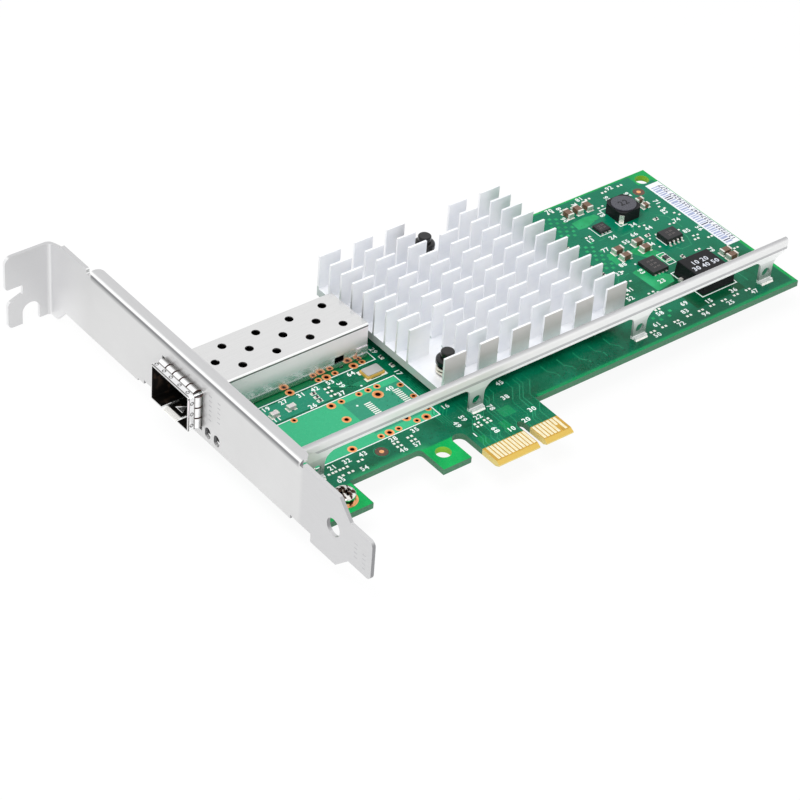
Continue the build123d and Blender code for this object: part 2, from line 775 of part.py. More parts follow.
# Spring-finger collar: a flat band with fingers on all four sides, open over the latch
finger_width = cage_width - 2 * cage_corner
finger_height = cage_height - 2 * cage_corner
with BuildPart() as cage_spring_collar:
    with BuildSketch(Plane.YZ.offset(collar_front)):
        with Locations((cage_middle, cage_height / 2)):
            outer_corner = cage_corner + collar_sheet
            RectangleRounded(cage_width + 2 * collar_sheet, cage_height + 2 * collar_sheet, outer_corner)
            RectangleRounded(cage_width, cage_height, cage_corner, mode=Mode.SUBTRACT)
    extrude(amount=collar_band)
    add(collar_side(finger_width, collar_top_fingers, (cage_middle, cage_height), 0))
    add(collar_side(finger_width, collar_top_fingers, (cage_middle, 0), 180))
    add(collar_side(finger_height, collar_side_fingers, (cage_low_side, cage_height / 2), 90))
    add(collar_side(finger_height, collar_side_fingers, (cage_high_side, cage_height / 2), -90))
    with BuildSketch(Plane.XY):
        with Locations((cage_front, cage_middle)):
            Rectangle(latch_length, 2 * latch_half, align=(Align.MIN, Align.CENTER))
    extrude(amount=-2 * collar_bulge, mode=Mode.SUBTRACT)
    # Round weld marks on the roof and on both sides
    mark_x = collar_front + weld_mark_inset
    with BuildSketch(Plane.XY.offset(cage_height + collar_sheet)):
        with Locations([(mark_x, place) for place in roof_weld_marks]):
            Circle(weld_mark_radius)
    extrude(amount=-weld_mark_depth, mode=Mode.SUBTRACT)
    for side, depth in ((cage_low_side - collar_sheet, -weld_mark_depth),
                        (cage_high_side + collar_sheet, weld_mark_depth)):
        with BuildSketch(Plane.XZ.offset(-side)):
            with Locations([(mark_x, place) for place in side_weld_marks]):
                Circle(weld_mark_radius)
        extrude(amount=depth, mode=Mode.SUBTRACT)
save(cage_spring_collar.part, "cage_spring_collar")

# Connector inside the cage, with a slot that faces the mouth
host_front = cage_back - cage_wall - host_from_back - host_length
with BuildPart() as host_connector:
    with BuildSketch():
        with Locations((host_front, cage_middle)):
            Rectangle(host_length, host_width, align=(Align.MIN, Align.CENTER))
    extrude(amount=host_height)
    fillet(host_connector.edges().filter_by(Axis.X), host_corner)
    with BuildSketch(Plane.YZ.offset(host_front)):
        with Locations((cage_middle, host_slot_low)):
            slot_opening = host_slot_high - host_slot_low
            Rectangle(host_slot_width, slot_opening, align=(Align.CENTER, Align.MIN))
    extrude(amount=host_slot_depth, mode=Mode.SUBTRACT)
save(host_connector.part, "host_connector")

with BuildPart() as host_contacts:
    for low in (host_slot_low, host_slot_high - host_contact_height):
        with BuildSketch(Plane.XY.offset(low)):
            with Locations((host_front + host_slot_depth - host_contact_length / 2, cage_middle)):
                with GridLocations(1, host_pitch, 1, host_contacts_in_row):
                    Rectangle(host_contact_length, host_contact_width)
        extrude(amount=host_contact_height)
save(host_contacts.part, "host_contacts")

# Port lights: two small lamps on the board's edge that shine out through the bracket
with BuildPart() as port_lights:
    for place in light_places:
        with BuildSketch():
            with Locations((board_left + light_setback, place)):
                Rectangle(light_length, light_width, align=(Align.MIN, Align.CENTER))
        extrude(amount=light_height)
        with BuildSketch(Plane.YZ.offset(board_left + light_setback)):
            with Locations((place, light_height / 2)):
                Circle(light_lens_radius)
        extrude(amount=-light_lens_depth)
save(port_lights.part, "port_lights")

# Controller chip under the heat sink, and the pad between them
controller = chip_body(chip_side, chip_side, chip_height, (sink_middle_x, sink_middle_y), 0)
save(controller, "controller_chip")

with BuildPart() as thermal_pad:
    with BuildSketch(Plane.XY.offset(chip_height)):
        with Locations((sink_middle_x, sink_middle_y)):
            Rectangle(chip_side - 2 * thermal_pad_inset, chip_side - 2 * thermal_pad_inset)
    extrude(amount=thermal_pad_height)
save(thermal_pad.part, "thermal_pad")

# Heat sink: a comb section drawn out along X, then sawn across into blocks of fins
with BuildPart() as heat_sink:
    with BuildSketch(Plane.YZ.offset(sink_left)):
        with Locations((sink_front, sink_base)):
            Rectangle(sink_depth, sink_base_height, align=Align.MIN)
        with Locations([(sink_front + fin_pitch * k, sink_base_top) for k in range(fin_rows)]):
            Rectangle(fin_thickness, fin_height, align=Align.MIN)
    extrude(amount=sink_length)
    with BuildSketch(Plane.XZ.offset(-sink_front)):
        with Locations([(sink_middle_x + saw_pitch * (k - (saw_cuts - 1) / 2), sink_base_top)
                        for k in range(saw_cuts)]):
            Rectangle(saw_gap, fin_height, align=(Align.CENTER, Align.MIN))
    extrude(amount=-sink_depth, mode=Mode.SUBTRACT)
    # Fins are left out round the push pins: two rows at the near pin and the last two at the far one
    with BuildSketch(Plane.XY.offset(sink_base_top)):
        with Locations((sink_left, sink_front + fin_pitch / 2)):
            first_cut = saw_pitch * (saw_cuts - 1) / 2 + saw_gap / 2
            Rectangle(sink_length / 2 - first_cut, missing_fins * fin_pitch, align=Align.MIN)
        with Locations((sink_middle_x + saw_gap / 2, far_fins_edge)):
            Rectangle(saw_pitch - saw_gap, missing_fins * fin_pitch, align=Align.MIN)
    extrude(amount=fin_height, mode=Mode.SUBTRACT)
    with BuildSketch(Plane.XY.offset(sink_base)):
        with Locations(pins):
            Circle(pin_hole_radius)
    extrude(amount=sink_base_height, mode=Mode.SUBTRACT)
save(heat_sink.part, "heat_sink")

# Push pins: cap with a knob on top, a shank through sink and board, and a split barbed tip
cap_top = cap_bottom + pin_cap_height
knob_top = cap_top + pin_knob_height
barb_top = board_back - pin_play
tip_end = barb_top - pin_tip_length
with BuildPart() as push_pins:
    for x, y in pins:
        with BuildSketch(Plane.XZ.offset(-y)):
            with BuildLine():
                FilletPolyline(
                    (x, tip_end),
                    (x + pin_tip_end_radius, tip_end),
                    (x + pin_tip_radius, barb_top - pin_tip_land),
                    (x + pin_tip_radius, barb_top),
                    (x + pin_radius, barb_top),
                    (x + pin_radius, cap_bottom),
                    (x + pin_cap_radius, cap_bottom),
                    (x + pin_cap_radius, cap_top),
                    (x + pin_knob_radius, cap_top),
                    (x + pin_knob_radius, knob_top),
                    (x, knob_top),
                    radius=[0, 0, 0, 0, 0, 0, 0, pin_cap_round, 0, pin_knob_chamfer, 0],
                    close=True,
                )
            make_face()
        revolve(axis=Axis((x, y, 0), (0, 0, 1)))
    with BuildSketch(Plane.XY.offset(tip_end)):
        with Locations(pins):
            Rectangle(2 * pin_tip_radius, pin_tip_slit)
    extrude(amount=pin_tip_length + board_thickness, mode=Mode.SUBTRACT)
save(push_pins.part, "push_pins")


def spring_points(x, y):
    """Points along a spring wire: one closed turn that lies on the heat sink, then open turns."""
    points = []
    turns = spring_closed_turns + spring_open_turns
    count = round(turns * spring_points_a_turn)
    for k in range(count + 1):
        turn = turns * k / count
        open_part = max(0, turn - spring_closed_turns)
        rise = (turn - open_part) * spring_closed_pitch + open_part * spring_open_pitch
        angle = 2 * pi * turn
        points.append((
            x + spring_radius * cos(angle),
            y + spring_radius * sin(angle),
            sink_base_top + spring_wire_radius + rise,
        ))
    return points


# Coil springs between the heat sink and the caps
with BuildPart() as pin_springs:
    for x, y in pins:
        with BuildLine():
            coil = Spline(*spring_points(x, y))
        with BuildSketch(Plane(origin=coil @ 0, z_dir=coil % 0)):
            Circle(spring_wire_radius)
        sweep(path=coil)
save(pin_springs.part, "pin_springs")



def leg_corners(bar, side):
    """The inner corners where the web meets its legs, on the left (-1) or on the right (1) of each leg."""
    low = bar_web_bottom - solder_margin
    high = bar_web_bottom + solder_margin
    corners = bar.edges().filter_by(Axis.Y).filter_by_position(Axis.Z, low, high)
    wanted = [x + side * bar_leg_width / 2 for x in bar_leg_places]
    return [edge for edge in corners if min(abs(edge.center().X - x) for x in wanted) < solder_margin]


# Stiffener bar: a sheet web on legs, with its upper edge folded over outwards as a hem
hem_radius = (bar_sheet + bar_hem_gap) / 2
hem_turn = bar_top - bar_sheet / 2 - hem_radius
web_line = bar_face + bar_sheet / 2
hem_line = web_line - 2 * hem_radius
with BuildPart() as stiffener_bar:
    with BuildSketch(Plane.XZ.offset(-bar_face)):
        with Locations((bracket_inner, bar_web_bottom)):
            Rectangle(bar_right - bracket_inner, hem_turn - bar_web_bottom, align=Align.MIN)
        with Locations([(x, 0) for x in bar_leg_places]):
            Rectangle(bar_leg_width, bar_web_bottom, align=(Align.CENTER, Align.MIN))
    extrude(amount=-bar_sheet)
    fillet(leg_corners(stiffener_bar, -1), bar_leg_small_radius)
    fillet(leg_corners(stiffener_bar, 1), bar_leg_large_radius)
    # Hem: a half turn at the top, then down the outside
    with BuildSketch(Plane.YZ.offset(bracket_inner)):
        with BuildLine():
            Line((web_line, hem_turn - bar_hem_overlap), (web_line, hem_turn))
            ThreePointArc(
                (web_line, hem_turn),
                (web_line - hem_radius, hem_turn + hem_radius),
                (hem_line, hem_turn),
            )
            Line((hem_line, hem_turn), (hem_line, bar_hem_bottom))
        trace(line_width=bar_sheet)
    extrude(amount=bar_right - bracket_inner)
    # The hem is cut off at a slant near the bracket
    with BuildSketch(Plane.XZ.offset(-(bar_face - bar_hem_gap / 2))):
        with BuildLine():
            Polyline(
                (bracket_inner, bar_hem_bottom),
                (bar_hem_left, bar_hem_bottom),
                (bar_hem_left_top, hem_turn),
                (bracket_inner, hem_turn),
                close=True,
            )
        make_face()
    extrude(amount=2 * bar_sheet, mode=Mode.SUBTRACT)
    # Hole and outward foot of each leg
    with BuildSketch(Plane.XZ.offset(-bar_face)):
        with Locations([(x, bar_leg_hole_height) for x in bar_leg_places]):
            Circle(bar_leg_hole_radius)
    extrude(amount=-bar_sheet, mode=Mode.SUBTRACT)
    with BuildSketch():
        with Locations([(x, bar_face - bar_foot_reach / 2) for x in bar_leg_places]):
            Rectangle(bar_leg_width - 2 * solder_margin, bar_foot_reach)
    extrude(amount=bar_foot_height)
save(stiffener_bar.part, "stiffener_bar")

# Ceramic chip capacitors and chip resistors
capacitor_bodies = []
capacitor_ends = []
for size, places, along_x in ((large_capacitor, large_capacitors_along_x, True),
                              (large_capacitor, large_capacitors_along_y, False),
                              (small_capacitor, small_capacitors_along_x, True)):
    bodies, caps = end_cap_pieces(size, capacitor_end, places, along_x)
    capacitor_bodies += bodies
    capacitor_ends += caps
save(stand_blocks(capacitor_bodies, pad_thickness), "capacitor_bodies")
save(stand_blocks(capacitor_ends, pad_thickness), "capacitor_ends")

resistor_bodies = []
resistor_ends = []
for size, places, along_x in ((large_resistor, large_resistors_along_y, False),
                              (small_resistor, small_resistors_along_x, True),
                              (small_resistor, small_resistors_along_y, False)):
    bodies, caps = end_cap_pieces(size, resistor_end, places, along_x)
    resistor_bodies += bodies
    resistor_ends += caps
save(stand_blocks(resistor_bodies, pad_thickness), "resistor_bodies")
save(stand_blocks(resistor_ends, pad_thickness), "resistor_ends")

# Inductor: square body with cut corners, a round core that shows on top, and folded terminals
with BuildPart() as power_inductor:
    with BuildSketch():
        with Locations(inductor_place):
            Rectangle(inductor_side, inductor_side)
    extrude(amount=inductor_height)
    chamfer(power_inductor.edges().filter_by(Axis.Z), inductor_corner)
    with BuildSketch(Plane.XY.offset(inductor_height)):
        with Locations(inductor_place):
            Circle(core_radius + core_gap)
    extrude(amount=-core_height / 2, mode=Mode.SUBTRACT)
save(power_inductor.part, "power_inductor")

with BuildPart() as inductor_core:
    with BuildSketch(Plane.XY.offset(inductor_height - core_height / 2)):
        with Locations(inductor_place):
            Circle(core_radius)
    extrude(amount=core_height)
    fillet(inductor_core.edges().group_by(Axis.Z)[-1], core_round)
save(inductor_core.part, "inductor_core")

cut_face = (inductor_side - inductor_corner) / 2
with BuildPart() as inductor_terminals:
    for side in (-1, 1):
        foot = (inductor_place[0] + side * cut_face, inductor_place[1] + side * cut_face, 0)
        for height, reach in ((terminal_height, terminal_thickness), (terminal_thickness, terminal_reach)):
            with BuildSketch(Plane(origin=foot, x_dir=(-side, side, 0), z_dir=(side, side, 0))):
                Rectangle(terminal_width, height, align=(Align.CENTER, Align.MIN))
            extrude(amount=reach)
save(inductor_terminals.part, "inductor_terminals")

# Moulded power block with a slight draft, and its lead pins
with BuildPart() as power_module:
    with BuildSketch():
        with Locations(module_place):
            Rectangle(module_length, module_width)
    extrude(amount=module_height, taper=module_draft)
    fillet(power_module.edges().group_by(Axis.Z)[-1], module_corner)
save(power_module.part, "power_module")

with BuildPart() as power_module_pins:
    with BuildSketch():
        for side in (-1, 1):
            for shift in (-module_pin_spread, module_pin_spread):
                end = module_place[0] + side * (module_length + module_pin_length) / 2
                with Locations((end, module_place[1] + shift)):
                    Rectangle(module_pin_length, module_pin_width)
    extrude(amount=module_pin_height)
save(power_module_pins.part, "power_module_pins")

# Eight-lead memory chip and its gull-wing leads
save(chip_body(memory_length, memory_width, memory_height, memory_place, memory_standoff), "memory_chip")
lead_half = memory_lead_thickness / 2
with BuildPart() as memory_chip_leads:
    for side in (-1, 1):
        body_face = memory_width / 2
        first = memory_place[0] - memory_lead_pitch * (memory_leads_on_side - 1) / 2 - memory_lead_width / 2
        for k in range(memory_leads_on_side):
            with BuildSketch(Plane.YZ.offset(first + memory_lead_pitch * k)):
                with BuildLine():
                    knee = memory_place[1] + side * (body_face + memory_lead_knee)
                    FilletPolyline(
                        (memory_place[1] + side * body_face, memory_height / 2),
                        (knee, memory_height / 2),
                        (knee + side * memory_lead_bend, lead_half),
                        (memory_place[1] + side * memory_lead_span / 2, lead_half),
                        radius=memory_lead_bend,
                    )
                trace(line_width=memory_lead_thickness)
            extrude(amount=memory_lead_width)
save(memory_chip_leads.part, "memory_chip_leads")

# Flat leadless chips and the rows of their lead ends
save(chip_body(regulator_side, regulator_side, regulator_height, regulator_place, 0), "regulator_chip")
save(chip_body(power_chip_length, power_chip_width, power_chip_height, power_chip_place, 0), "power_chip")


def lead_rows(place, half_width, count):
    """Rows of flat lead ends along both long sides of a leadless chip."""
    with BuildPart() as rows:
        with BuildSketch():
            for side in (-1, 1):
                with Locations((place[0], place[1] + side * (half_width + lead_row_reach / 2))):
                    with GridLocations(lead_row_pitch, 1, count, 1):
                        Rectangle(lead_row_width, lead_row_reach)
        extrude(amount=lead_row_height)
    return rows.part


save(lead_rows(regulator_place, regulator_side / 2, 3), "regulator_chip_pads")
save(lead_rows(power_chip_place, power_chip_width / 2, 4), "power_chip_leads")

# Crystal: ceramic base and a flat metal lid
with BuildPart() as crystal_base:
    with BuildSketch(Plane.XY.offset(pad_thickness)):
        with Locations(crystal_place):
            Rectangle(crystal_length, crystal_width)
    extrude(amount=crystal_base_height)
save(crystal_base.part, "crystal_base")

with BuildPart() as crystal_lid:
    with BuildSketch(Plane.XY.offset(pad_thickness + crystal_base_height)):
        with Locations(crystal_place):
            lid_length = crystal_length - crystal_lid_inset
            RectangleRounded(lid_length, crystal_width - crystal_lid_inset, crystal_lid_corner)
    extrude(amount=crystal_lid_height)
save(crystal_lid.part, "crystal_lid")

# Tinned pads: under the chip parts and the crystal, bare pairs, and two rows of an empty chip place
with BuildPart() as solder_pads:
    with BuildSketch():
        for x, y, (length, width, height) in capacitor_ends + resistor_ends:
            with Locations((x, y)):
                Rectangle(length + 2 * pad_margin, width + 2 * pad_margin)
        with Locations(crystal_place):
            with GridLocations(crystal_length - 2 * pad_margin, crystal_width - 2 * pad_margin, 2, 2):
                Rectangle(*crystal_pad)
        with Locations(pad_pairs):
            with GridLocations(pad_pair_pitch, 1, 2, 1):
                Rectangle(pad_side, pad_side)
        with Locations(empty_row_places):
            with GridLocations(1, empty_row_pitch, 1, empty_row_pads):
                Rectangle(empty_pad_length, empty_pad_width)
    extrude(amount=pad_thickness)
save(solder_pads.part, "solder_pads")

# Copper rings of the plated holes and of the screw holes
with BuildPart() as via_rings:
    with BuildSketch():
        for (ring, hole), places in ring_groups:
            with Locations(places):
                Circle(ring)
            with Locations(places):
                Circle(hole, mode=Mode.SUBTRACT)
    extrude(amount=ring_thickness)
save(via_rings.part, "via_rings")

# Solder fillets in front of the feet of the bar
with BuildPart() as leg_solder:
    for x in bar_leg_places:
        with BuildSketch(Plane.YZ.offset(x - bar_leg_width / 2 + solder_margin)):
            with BuildLine():
                foot_front = bar_face - bar_foot_reach
                Polyline(
                    (foot_front, 0),
                    (foot_front, solder_fillet),
                    (foot_front - solder_fillet, 0),
                    close=True,
                )
            make_face()
        extrude(amount=bar_leg_width - 2 * solder_margin)
save(leg_solder.part, "leg_solder")

# Alignment dots and the strip label
with BuildPart() as fiducial_dots:
    with BuildSketch():
        with Locations(dot_places):
            Circle(dot_radius)
    extrude(amount=ring_thickness)
save(fiducial_dots.part, "fiducial_dots")

with BuildPart() as bar_label:
    with BuildSketch():
        with Locations((board_right - label_from_edge, label_bottom)):
            Rectangle(label_width, label_top - label_bottom, align=(Align.MAX, Align.MIN))
    extrude(amount=label_thickness)
save(bar_label.part, "bar_label")
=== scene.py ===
# %% [markdown]
# # A network card, dressed in Blender
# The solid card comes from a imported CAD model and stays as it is. This lesson gives it its
# light, its camera and its finishes, and adds what is too thin for the solids: the copper
# fields under the mask, the white print, the tiny pads and the marks on labels and chips.
# Everything is in metres, in the card's own frame: X from the bracket to the far end, Y to
# the top edge of the board and Z out of the component face.

from math import cos, pi, radians, sin

import bmesh
import bpy
from mathutils import Euler, Matrix, Quaternion, Vector


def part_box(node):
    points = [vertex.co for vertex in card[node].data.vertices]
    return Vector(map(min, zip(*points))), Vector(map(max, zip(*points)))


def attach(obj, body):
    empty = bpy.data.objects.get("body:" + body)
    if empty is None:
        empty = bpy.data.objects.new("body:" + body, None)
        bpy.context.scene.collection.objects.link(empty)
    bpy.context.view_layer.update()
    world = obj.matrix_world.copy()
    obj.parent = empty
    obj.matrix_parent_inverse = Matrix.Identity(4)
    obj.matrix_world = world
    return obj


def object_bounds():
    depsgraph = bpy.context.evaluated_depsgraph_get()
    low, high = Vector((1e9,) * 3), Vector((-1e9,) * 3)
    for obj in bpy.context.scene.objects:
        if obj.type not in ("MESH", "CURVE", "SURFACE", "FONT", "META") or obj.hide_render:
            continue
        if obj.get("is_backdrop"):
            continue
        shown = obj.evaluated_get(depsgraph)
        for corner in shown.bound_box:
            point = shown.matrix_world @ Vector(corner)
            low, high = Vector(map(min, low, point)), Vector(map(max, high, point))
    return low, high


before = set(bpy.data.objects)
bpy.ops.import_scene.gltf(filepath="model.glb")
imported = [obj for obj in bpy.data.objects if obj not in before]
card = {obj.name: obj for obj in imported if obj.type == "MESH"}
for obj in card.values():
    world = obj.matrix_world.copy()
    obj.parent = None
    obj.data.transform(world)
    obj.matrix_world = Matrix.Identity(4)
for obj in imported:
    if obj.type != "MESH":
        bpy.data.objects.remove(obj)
cad_low, cad_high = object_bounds()
mm = 0.001


def box_mm(name):
    """The low and high corners of a CAD node, in millimetres."""
    return [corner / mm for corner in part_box(name)]


print("nodes:", len(card), "size in mm:", [round(s / mm, 1) for s in cad_high - cad_low])

# %% [markdown]
# ## The camera
# The card is seen from beyond its bracket and from above, through a long lens that keeps
# its edges almost parallel. A camera could be turned by hand until it fits. Here it is
# worked out from the point it looks at, two angles, a distance and a small tilt, so each
# number means something and can be changed by itself.

# %% Camera
view_aim = Vector((-17.12, 29.41, 0.0)) * mm
view_azimuth = radians(-130.51)
view_elevation = radians(38.22)
view_tilt = radians(4.4)
view_distance = 644.5 * mm
lens_length = 130.91
sensor_width = 36
nearest_seen = 0.01

outwards = Vector((cos(view_elevation) * cos(view_azimuth),
                   cos(view_elevation) * sin(view_azimuth),
                   sin(view_elevation)))
lens = bpy.data.cameras.new("photo_lens")
lens.lens = lens_length
lens.sensor_width = sensor_width
lens.clip_start = nearest_seen
camera = bpy.data.objects.new("camera", lens)
camera.location = view_aim + outwards * view_distance
level = (-outwards).to_track_quat("-Z", "Y")
camera.rotation_mode = "QUATERNION"
camera.rotation_quaternion = level @ Quaternion((0, 0, 1), view_tilt)
bpy.context.scene.collection.objects.link(camera)
bpy.context.scene.camera = camera
print("camera at, in mm:", [round(c / mm, 1) for c in camera.location])

# %% [markdown]
# ## Colours read from sight
# Blender mixes light in linear values, while an eye judges a colour on a screen's scale
# from 0 to 255. One helper turns the second into the first, so that each finish can be
# written down as it looks.

# %% Colour helper
def seen(red, green, blue):
    """A colour as it looks on a screen, 0 to 255 a channel, as Blender's linear values."""
    def linear(level):
        share = level / 255
        return share / 12.92 if share <= 0.04045 else ((share + 0.055) / 1.055) ** 2.4
    return (linear(red), linear(green), linear(blue), 1.0)


def grey(level, bluer=0):
    """A grey of this level, with its blue raised by bluer."""
    return seen(level, level, level + bluer)


print("mid grey is", round(grey(128)[0], 3))

# %% [markdown]
# ## The light and the floor
# The card is shown on white in very soft light, as in a light tent. A white world does
# most of the work, one large lamp above the bracket end gives the sheets their slow
# shading, and a second one keeps the front of the fins readable. The large one gives light
# but isn't mirrored, or flat sheet would burn out when it is seen from above. The floor is
# white to the camera and to mirrors by its colour, and a weak share of real shading in it
# keeps a soft shadow below the card.

# %% World
tent_light = 0.62
white = (1.0, 1.0, 1.0, 1.0)


def eye_or_mirror(tree):
    """1 for rays from the camera, a mirror or glass, and 0 for rays that gather light."""
    ray = tree.nodes.new("ShaderNodeLightPath")
    largest = ray.outputs["Is Camera Ray"]
    for kind in ("Is Glossy Ray", "Is Transmission Ray"):
        larger = tree.nodes.new("ShaderNodeMath")
        larger.operation = "MAXIMUM"
        tree.links.new(largest, larger.inputs[0])
        tree.links.new(ray.outputs[kind], larger.inputs[1])
        largest = larger.outputs[0]
    return largest


world = bpy.data.worlds.new("light_tent")
bpy.context.scene.world = world
world.use_nodes = True
tent = world.node_tree
backdrop = tent.nodes["Background"]
backdrop.inputs["Color"].default_value = white
brightness = tent.nodes.new("ShaderNodeMapRange")
brightness.inputs["To Min"].default_value = tent_light
brightness.inputs["To Max"].default_value = 1.0
tent.links.new(eye_or_mirror(tent), brightness.inputs["Value"])
tent.links.new(brightness.outputs["Result"], backdrop.inputs["Strength"])
bpy.context.scene.view_settings.view_transform = "Standard"
print("light from the tent:", tent_light)


# %% Lamps
def soft_lamp(name, place, aim, side, power):
    """A square lamp with a side of side millimetres at place, turned to aim."""
    lamp = bpy.data.lights.new(name, "AREA")
    lamp.shape = "SQUARE"
    lamp.size = side * mm
    lamp.energy = power
    thing = bpy.data.objects.new(name, lamp)
    thing.location = Vector(place) * mm
    direction = Vector(aim) * mm - thing.location
    thing.rotation_euler = direction.to_track_quat("-Z", "Y").to_euler()
    bpy.context.scene.collection.objects.link(thing)
    print(name, "gives", power, "W")
    return thing


above = soft_lamp("lamp_above", (-150, 60, 600), (15, 45, 0), 420, 2.6)
above.visible_glossy = False
soft_lamp("lamp_front", (-320, -420, 160), (10, 30, 0), 320, 1.1)

# %% Floor
floor_drop = 0.2 * mm
half_floor = 3.0
glow_share = 0.93
floor_height = cad_low.z - floor_drop
corners = [(x * half_floor, y * half_floor, floor_height)
           for x, y in ((-1, -1), (1, -1), (1, 1), (-1, 1))]
floor_mesh = bpy.data.meshes.new("floor")
floor_mesh.from_pydata(corners, [], [(0, 1, 2, 3)])
floor = bpy.data.objects.new("floor", floor_mesh)
bpy.context.scene.collection.objects.link(floor)
floor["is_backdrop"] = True

paper = bpy.data.materials.new("white_paper")
paper.use_nodes = True
sheet = paper.node_tree
matt = sheet.nodes["Principled BSDF"]
matt.inputs["Base Color"].default_value = grey(250)
matt.inputs["Roughness"].default_value = 0.9
glow = sheet.nodes.new("ShaderNodeEmission")
glowing = sheet.nodes.new("ShaderNodeMath")
glowing.operation = "MULTIPLY"
glowing.inputs[1].default_value = glow_share
blend = sheet.nodes.new("ShaderNodeMixShader")
sheet.links.new(eye_or_mirror(sheet), glowing.inputs[0])
sheet.links.new(glowing.outputs[0], blend.inputs["Fac"])
sheet.links.new(matt.outputs["BSDF"], blend.inputs[1])
sheet.links.new(glow.outputs["Emission"], blend.inputs[2])
sheet.links.new(blend.outputs["Shader"], sheet.nodes["Material Output"].inputs["Surface"])
floor_mesh.materials.append(paper)
print("floor at", round(floor_height / mm, 2), "mm")

# %% [markdown]
# ## How a finish is built
# Each finish is one Principled shader. What is the same all over a surface is set on the
# shader's own sockets. What varies, such as cloudiness, brush lines or fine grain, comes
# from noise in the card's own coordinates, so it has a real size and stays on the part
# from every side. A few small helpers keep the cells short.

# %% Finish helpers: the shader
def new_finish(name, colour, roughness, metallic=0.0, **more):
    """A Principled material with its plain values on the shader's sockets."""
    finish = bpy.data.materials.new(name)
    finish.use_nodes = True
    shader = finish.node_tree.nodes["Principled BSDF"]
    shader.inputs["Base Color"].default_value = colour
    shader.inputs["Roughness"].default_value = roughness
    shader.inputs["Metallic"].default_value = metallic
    for socket, value in more.items():
        shader.inputs[socket.replace("_", " ")].default_value = value
    return finish


def connect(finish, value, socket):
    """Leads a value to a socket of the finish's shader."""
    shader = finish.node_tree.nodes["Principled BSDF"]
    finish.node_tree.links.new(value, shader.inputs[socket])


def put_on(finish, *names):
    """Gives a finish to every material slot of these CAD nodes."""
    for name in names:
        mesh = card[name].data
        mesh.materials.clear()
        mesh.materials.append(finish)
    print(finish.name, "on", ", ".join(names))


# %% Finish helpers: what varies
def noise(finish, size, stretch=(1, 1, 1), detail=3.0):
    """Noise with patches about size millimetres wide, made longer along an axis by stretch."""
    nodes = finish.node_tree.nodes
    place = nodes.new("ShaderNodeTexCoord")
    scaled = nodes.new("ShaderNodeMapping")
    for axis in range(3):
        scaled.inputs["Scale"].default_value[axis] = 1 / (size * mm * stretch[axis])
    cloud = nodes.new("ShaderNodeTexNoise")
    cloud.inputs["Scale"].default_value = 1.0
    cloud.inputs["Detail"].default_value = detail
    finish.node_tree.links.new(place.outputs["Object"], scaled.inputs["Vector"])
    finish.node_tree.links.new(scaled.outputs["Vector"], cloud.inputs["Vector"])
    return cloud.outputs["Fac"]


def spread(finish, value, low, high, bottom=0.35, top=0.65):
    """Turns a value between bottom and top into one between low and high."""
    part = finish.node_tree.nodes.new("ShaderNodeMapRange")
    part.inputs["From Min"].default_value = bottom
    part.inputs["From Max"].default_value = top
    part.inputs["To Min"].default_value = low
    part.inputs["To Max"].default_value = high
    finish.node_tree.links.new(value, part.inputs["Value"])
    return part.outputs["Result"]


def mix(finish, share, first, second):
    """A colour between first and second. Each is a colour or another node's output."""
    part = finish.node_tree.nodes.new("ShaderNodeMix")
    part.data_type = "RGBA"
    for name, colour in (("A", first), ("B", second)):
        socket = [s for s in part.inputs if s.name == name and s.type == "RGBA"][0]
        if isinstance(colour, bpy.types.NodeSocket):
            finish.node_tree.links.new(colour, socket)
        else:
            socket.default_value = colour
    finish.node_tree.links.new(share, part.inputs["Factor"])
    return [s for s in part.outputs if s.type == "RGBA"][0]


# %% Finish helpers: patterns
def cloudy(finish, size, first, second, stretch=(1, 1, 1)):
    """A colour that drifts between first and second in patches of size millimetres."""
    return mix(finish, spread(finish, noise(finish, size, stretch), 0, 1), first, second)


def uneven(finish, size, smooth, rough):
    """Lets the roughness drift between two values in patches of size millimetres."""
    connect(finish, spread(finish, noise(finish, size), smooth, rough), "Roughness")


def layered(finish, tone, *layers):
    """Lays colours over tone, one after the other. Each layer is (where it is 1, colour)."""
    for share, colour in layers:
        tone = mix(finish, share, tone, colour)
    return tone


def tinted(name, base, size, first, second, roughness, metallic=0.0, **more):
    """A finish whose colour drifts between first and second in patches of size millimetres."""
    finish = new_finish(name, base, roughness, metallic, **more)
    connect(finish, cloudy(finish, size, first, second), "Base Color")
    return finish


def printed(name, base, size, first, second, roughness, metallic=0.0, **more):
    """An ink that stays close to one colour, with faint spots of size millimetres."""
    finish = new_finish(name, base, roughness, metallic, **more)
    connect(finish, mix(finish, noise(finish, size), first, second), "Base Color")
    return finish


def relief(finish, value, depth):
    """Raises and lowers the surface by up to depth millimetres with a value from 0 to 1."""
    bump = finish.node_tree.nodes.new("ShaderNodeBump")
    bump.inputs["Strength"].default_value = 1.0
    bump.inputs["Distance"].default_value = depth * mm
    finish.node_tree.links.new(value, bump.inputs["Height"])
    connect(finish, bump.outputs["Normal"], "Normal")


# %% [markdown]
# ## Zones on a surface
# A board shows many areas with sharp limits: copper below the lacquer, bare laminate at its
# rim, gold laminate at the tongue. Painting them on a picture would tie the part to an
# image file. Here a few nodes ask where a point lies, in the card's own millimetres, and
# answer with 1 inside a box or a circle and 0 outside.

# %% Zone helpers: sums and places
def combine(finish, kind, first, second):
    """A Math node of this kind on two values."""
    part = finish.node_tree.nodes.new("ShaderNodeMath")
    part.operation = kind
    for socket, value in zip(part.inputs, (first, second)):
        if isinstance(value, bpy.types.NodeSocket):
            finish.node_tree.links.new(value, socket)
        else:
            socket.default_value = value
    return part.outputs[0]


def both(finish, first, second):
    """1 where both values are 1, or a value made weaker by a share."""
    return combine(finish, "MULTIPLY", first, second)


def either(finish, first, second):
    """1 where one of the values is 1."""
    return combine(finish, "MAXIMUM", first, second)


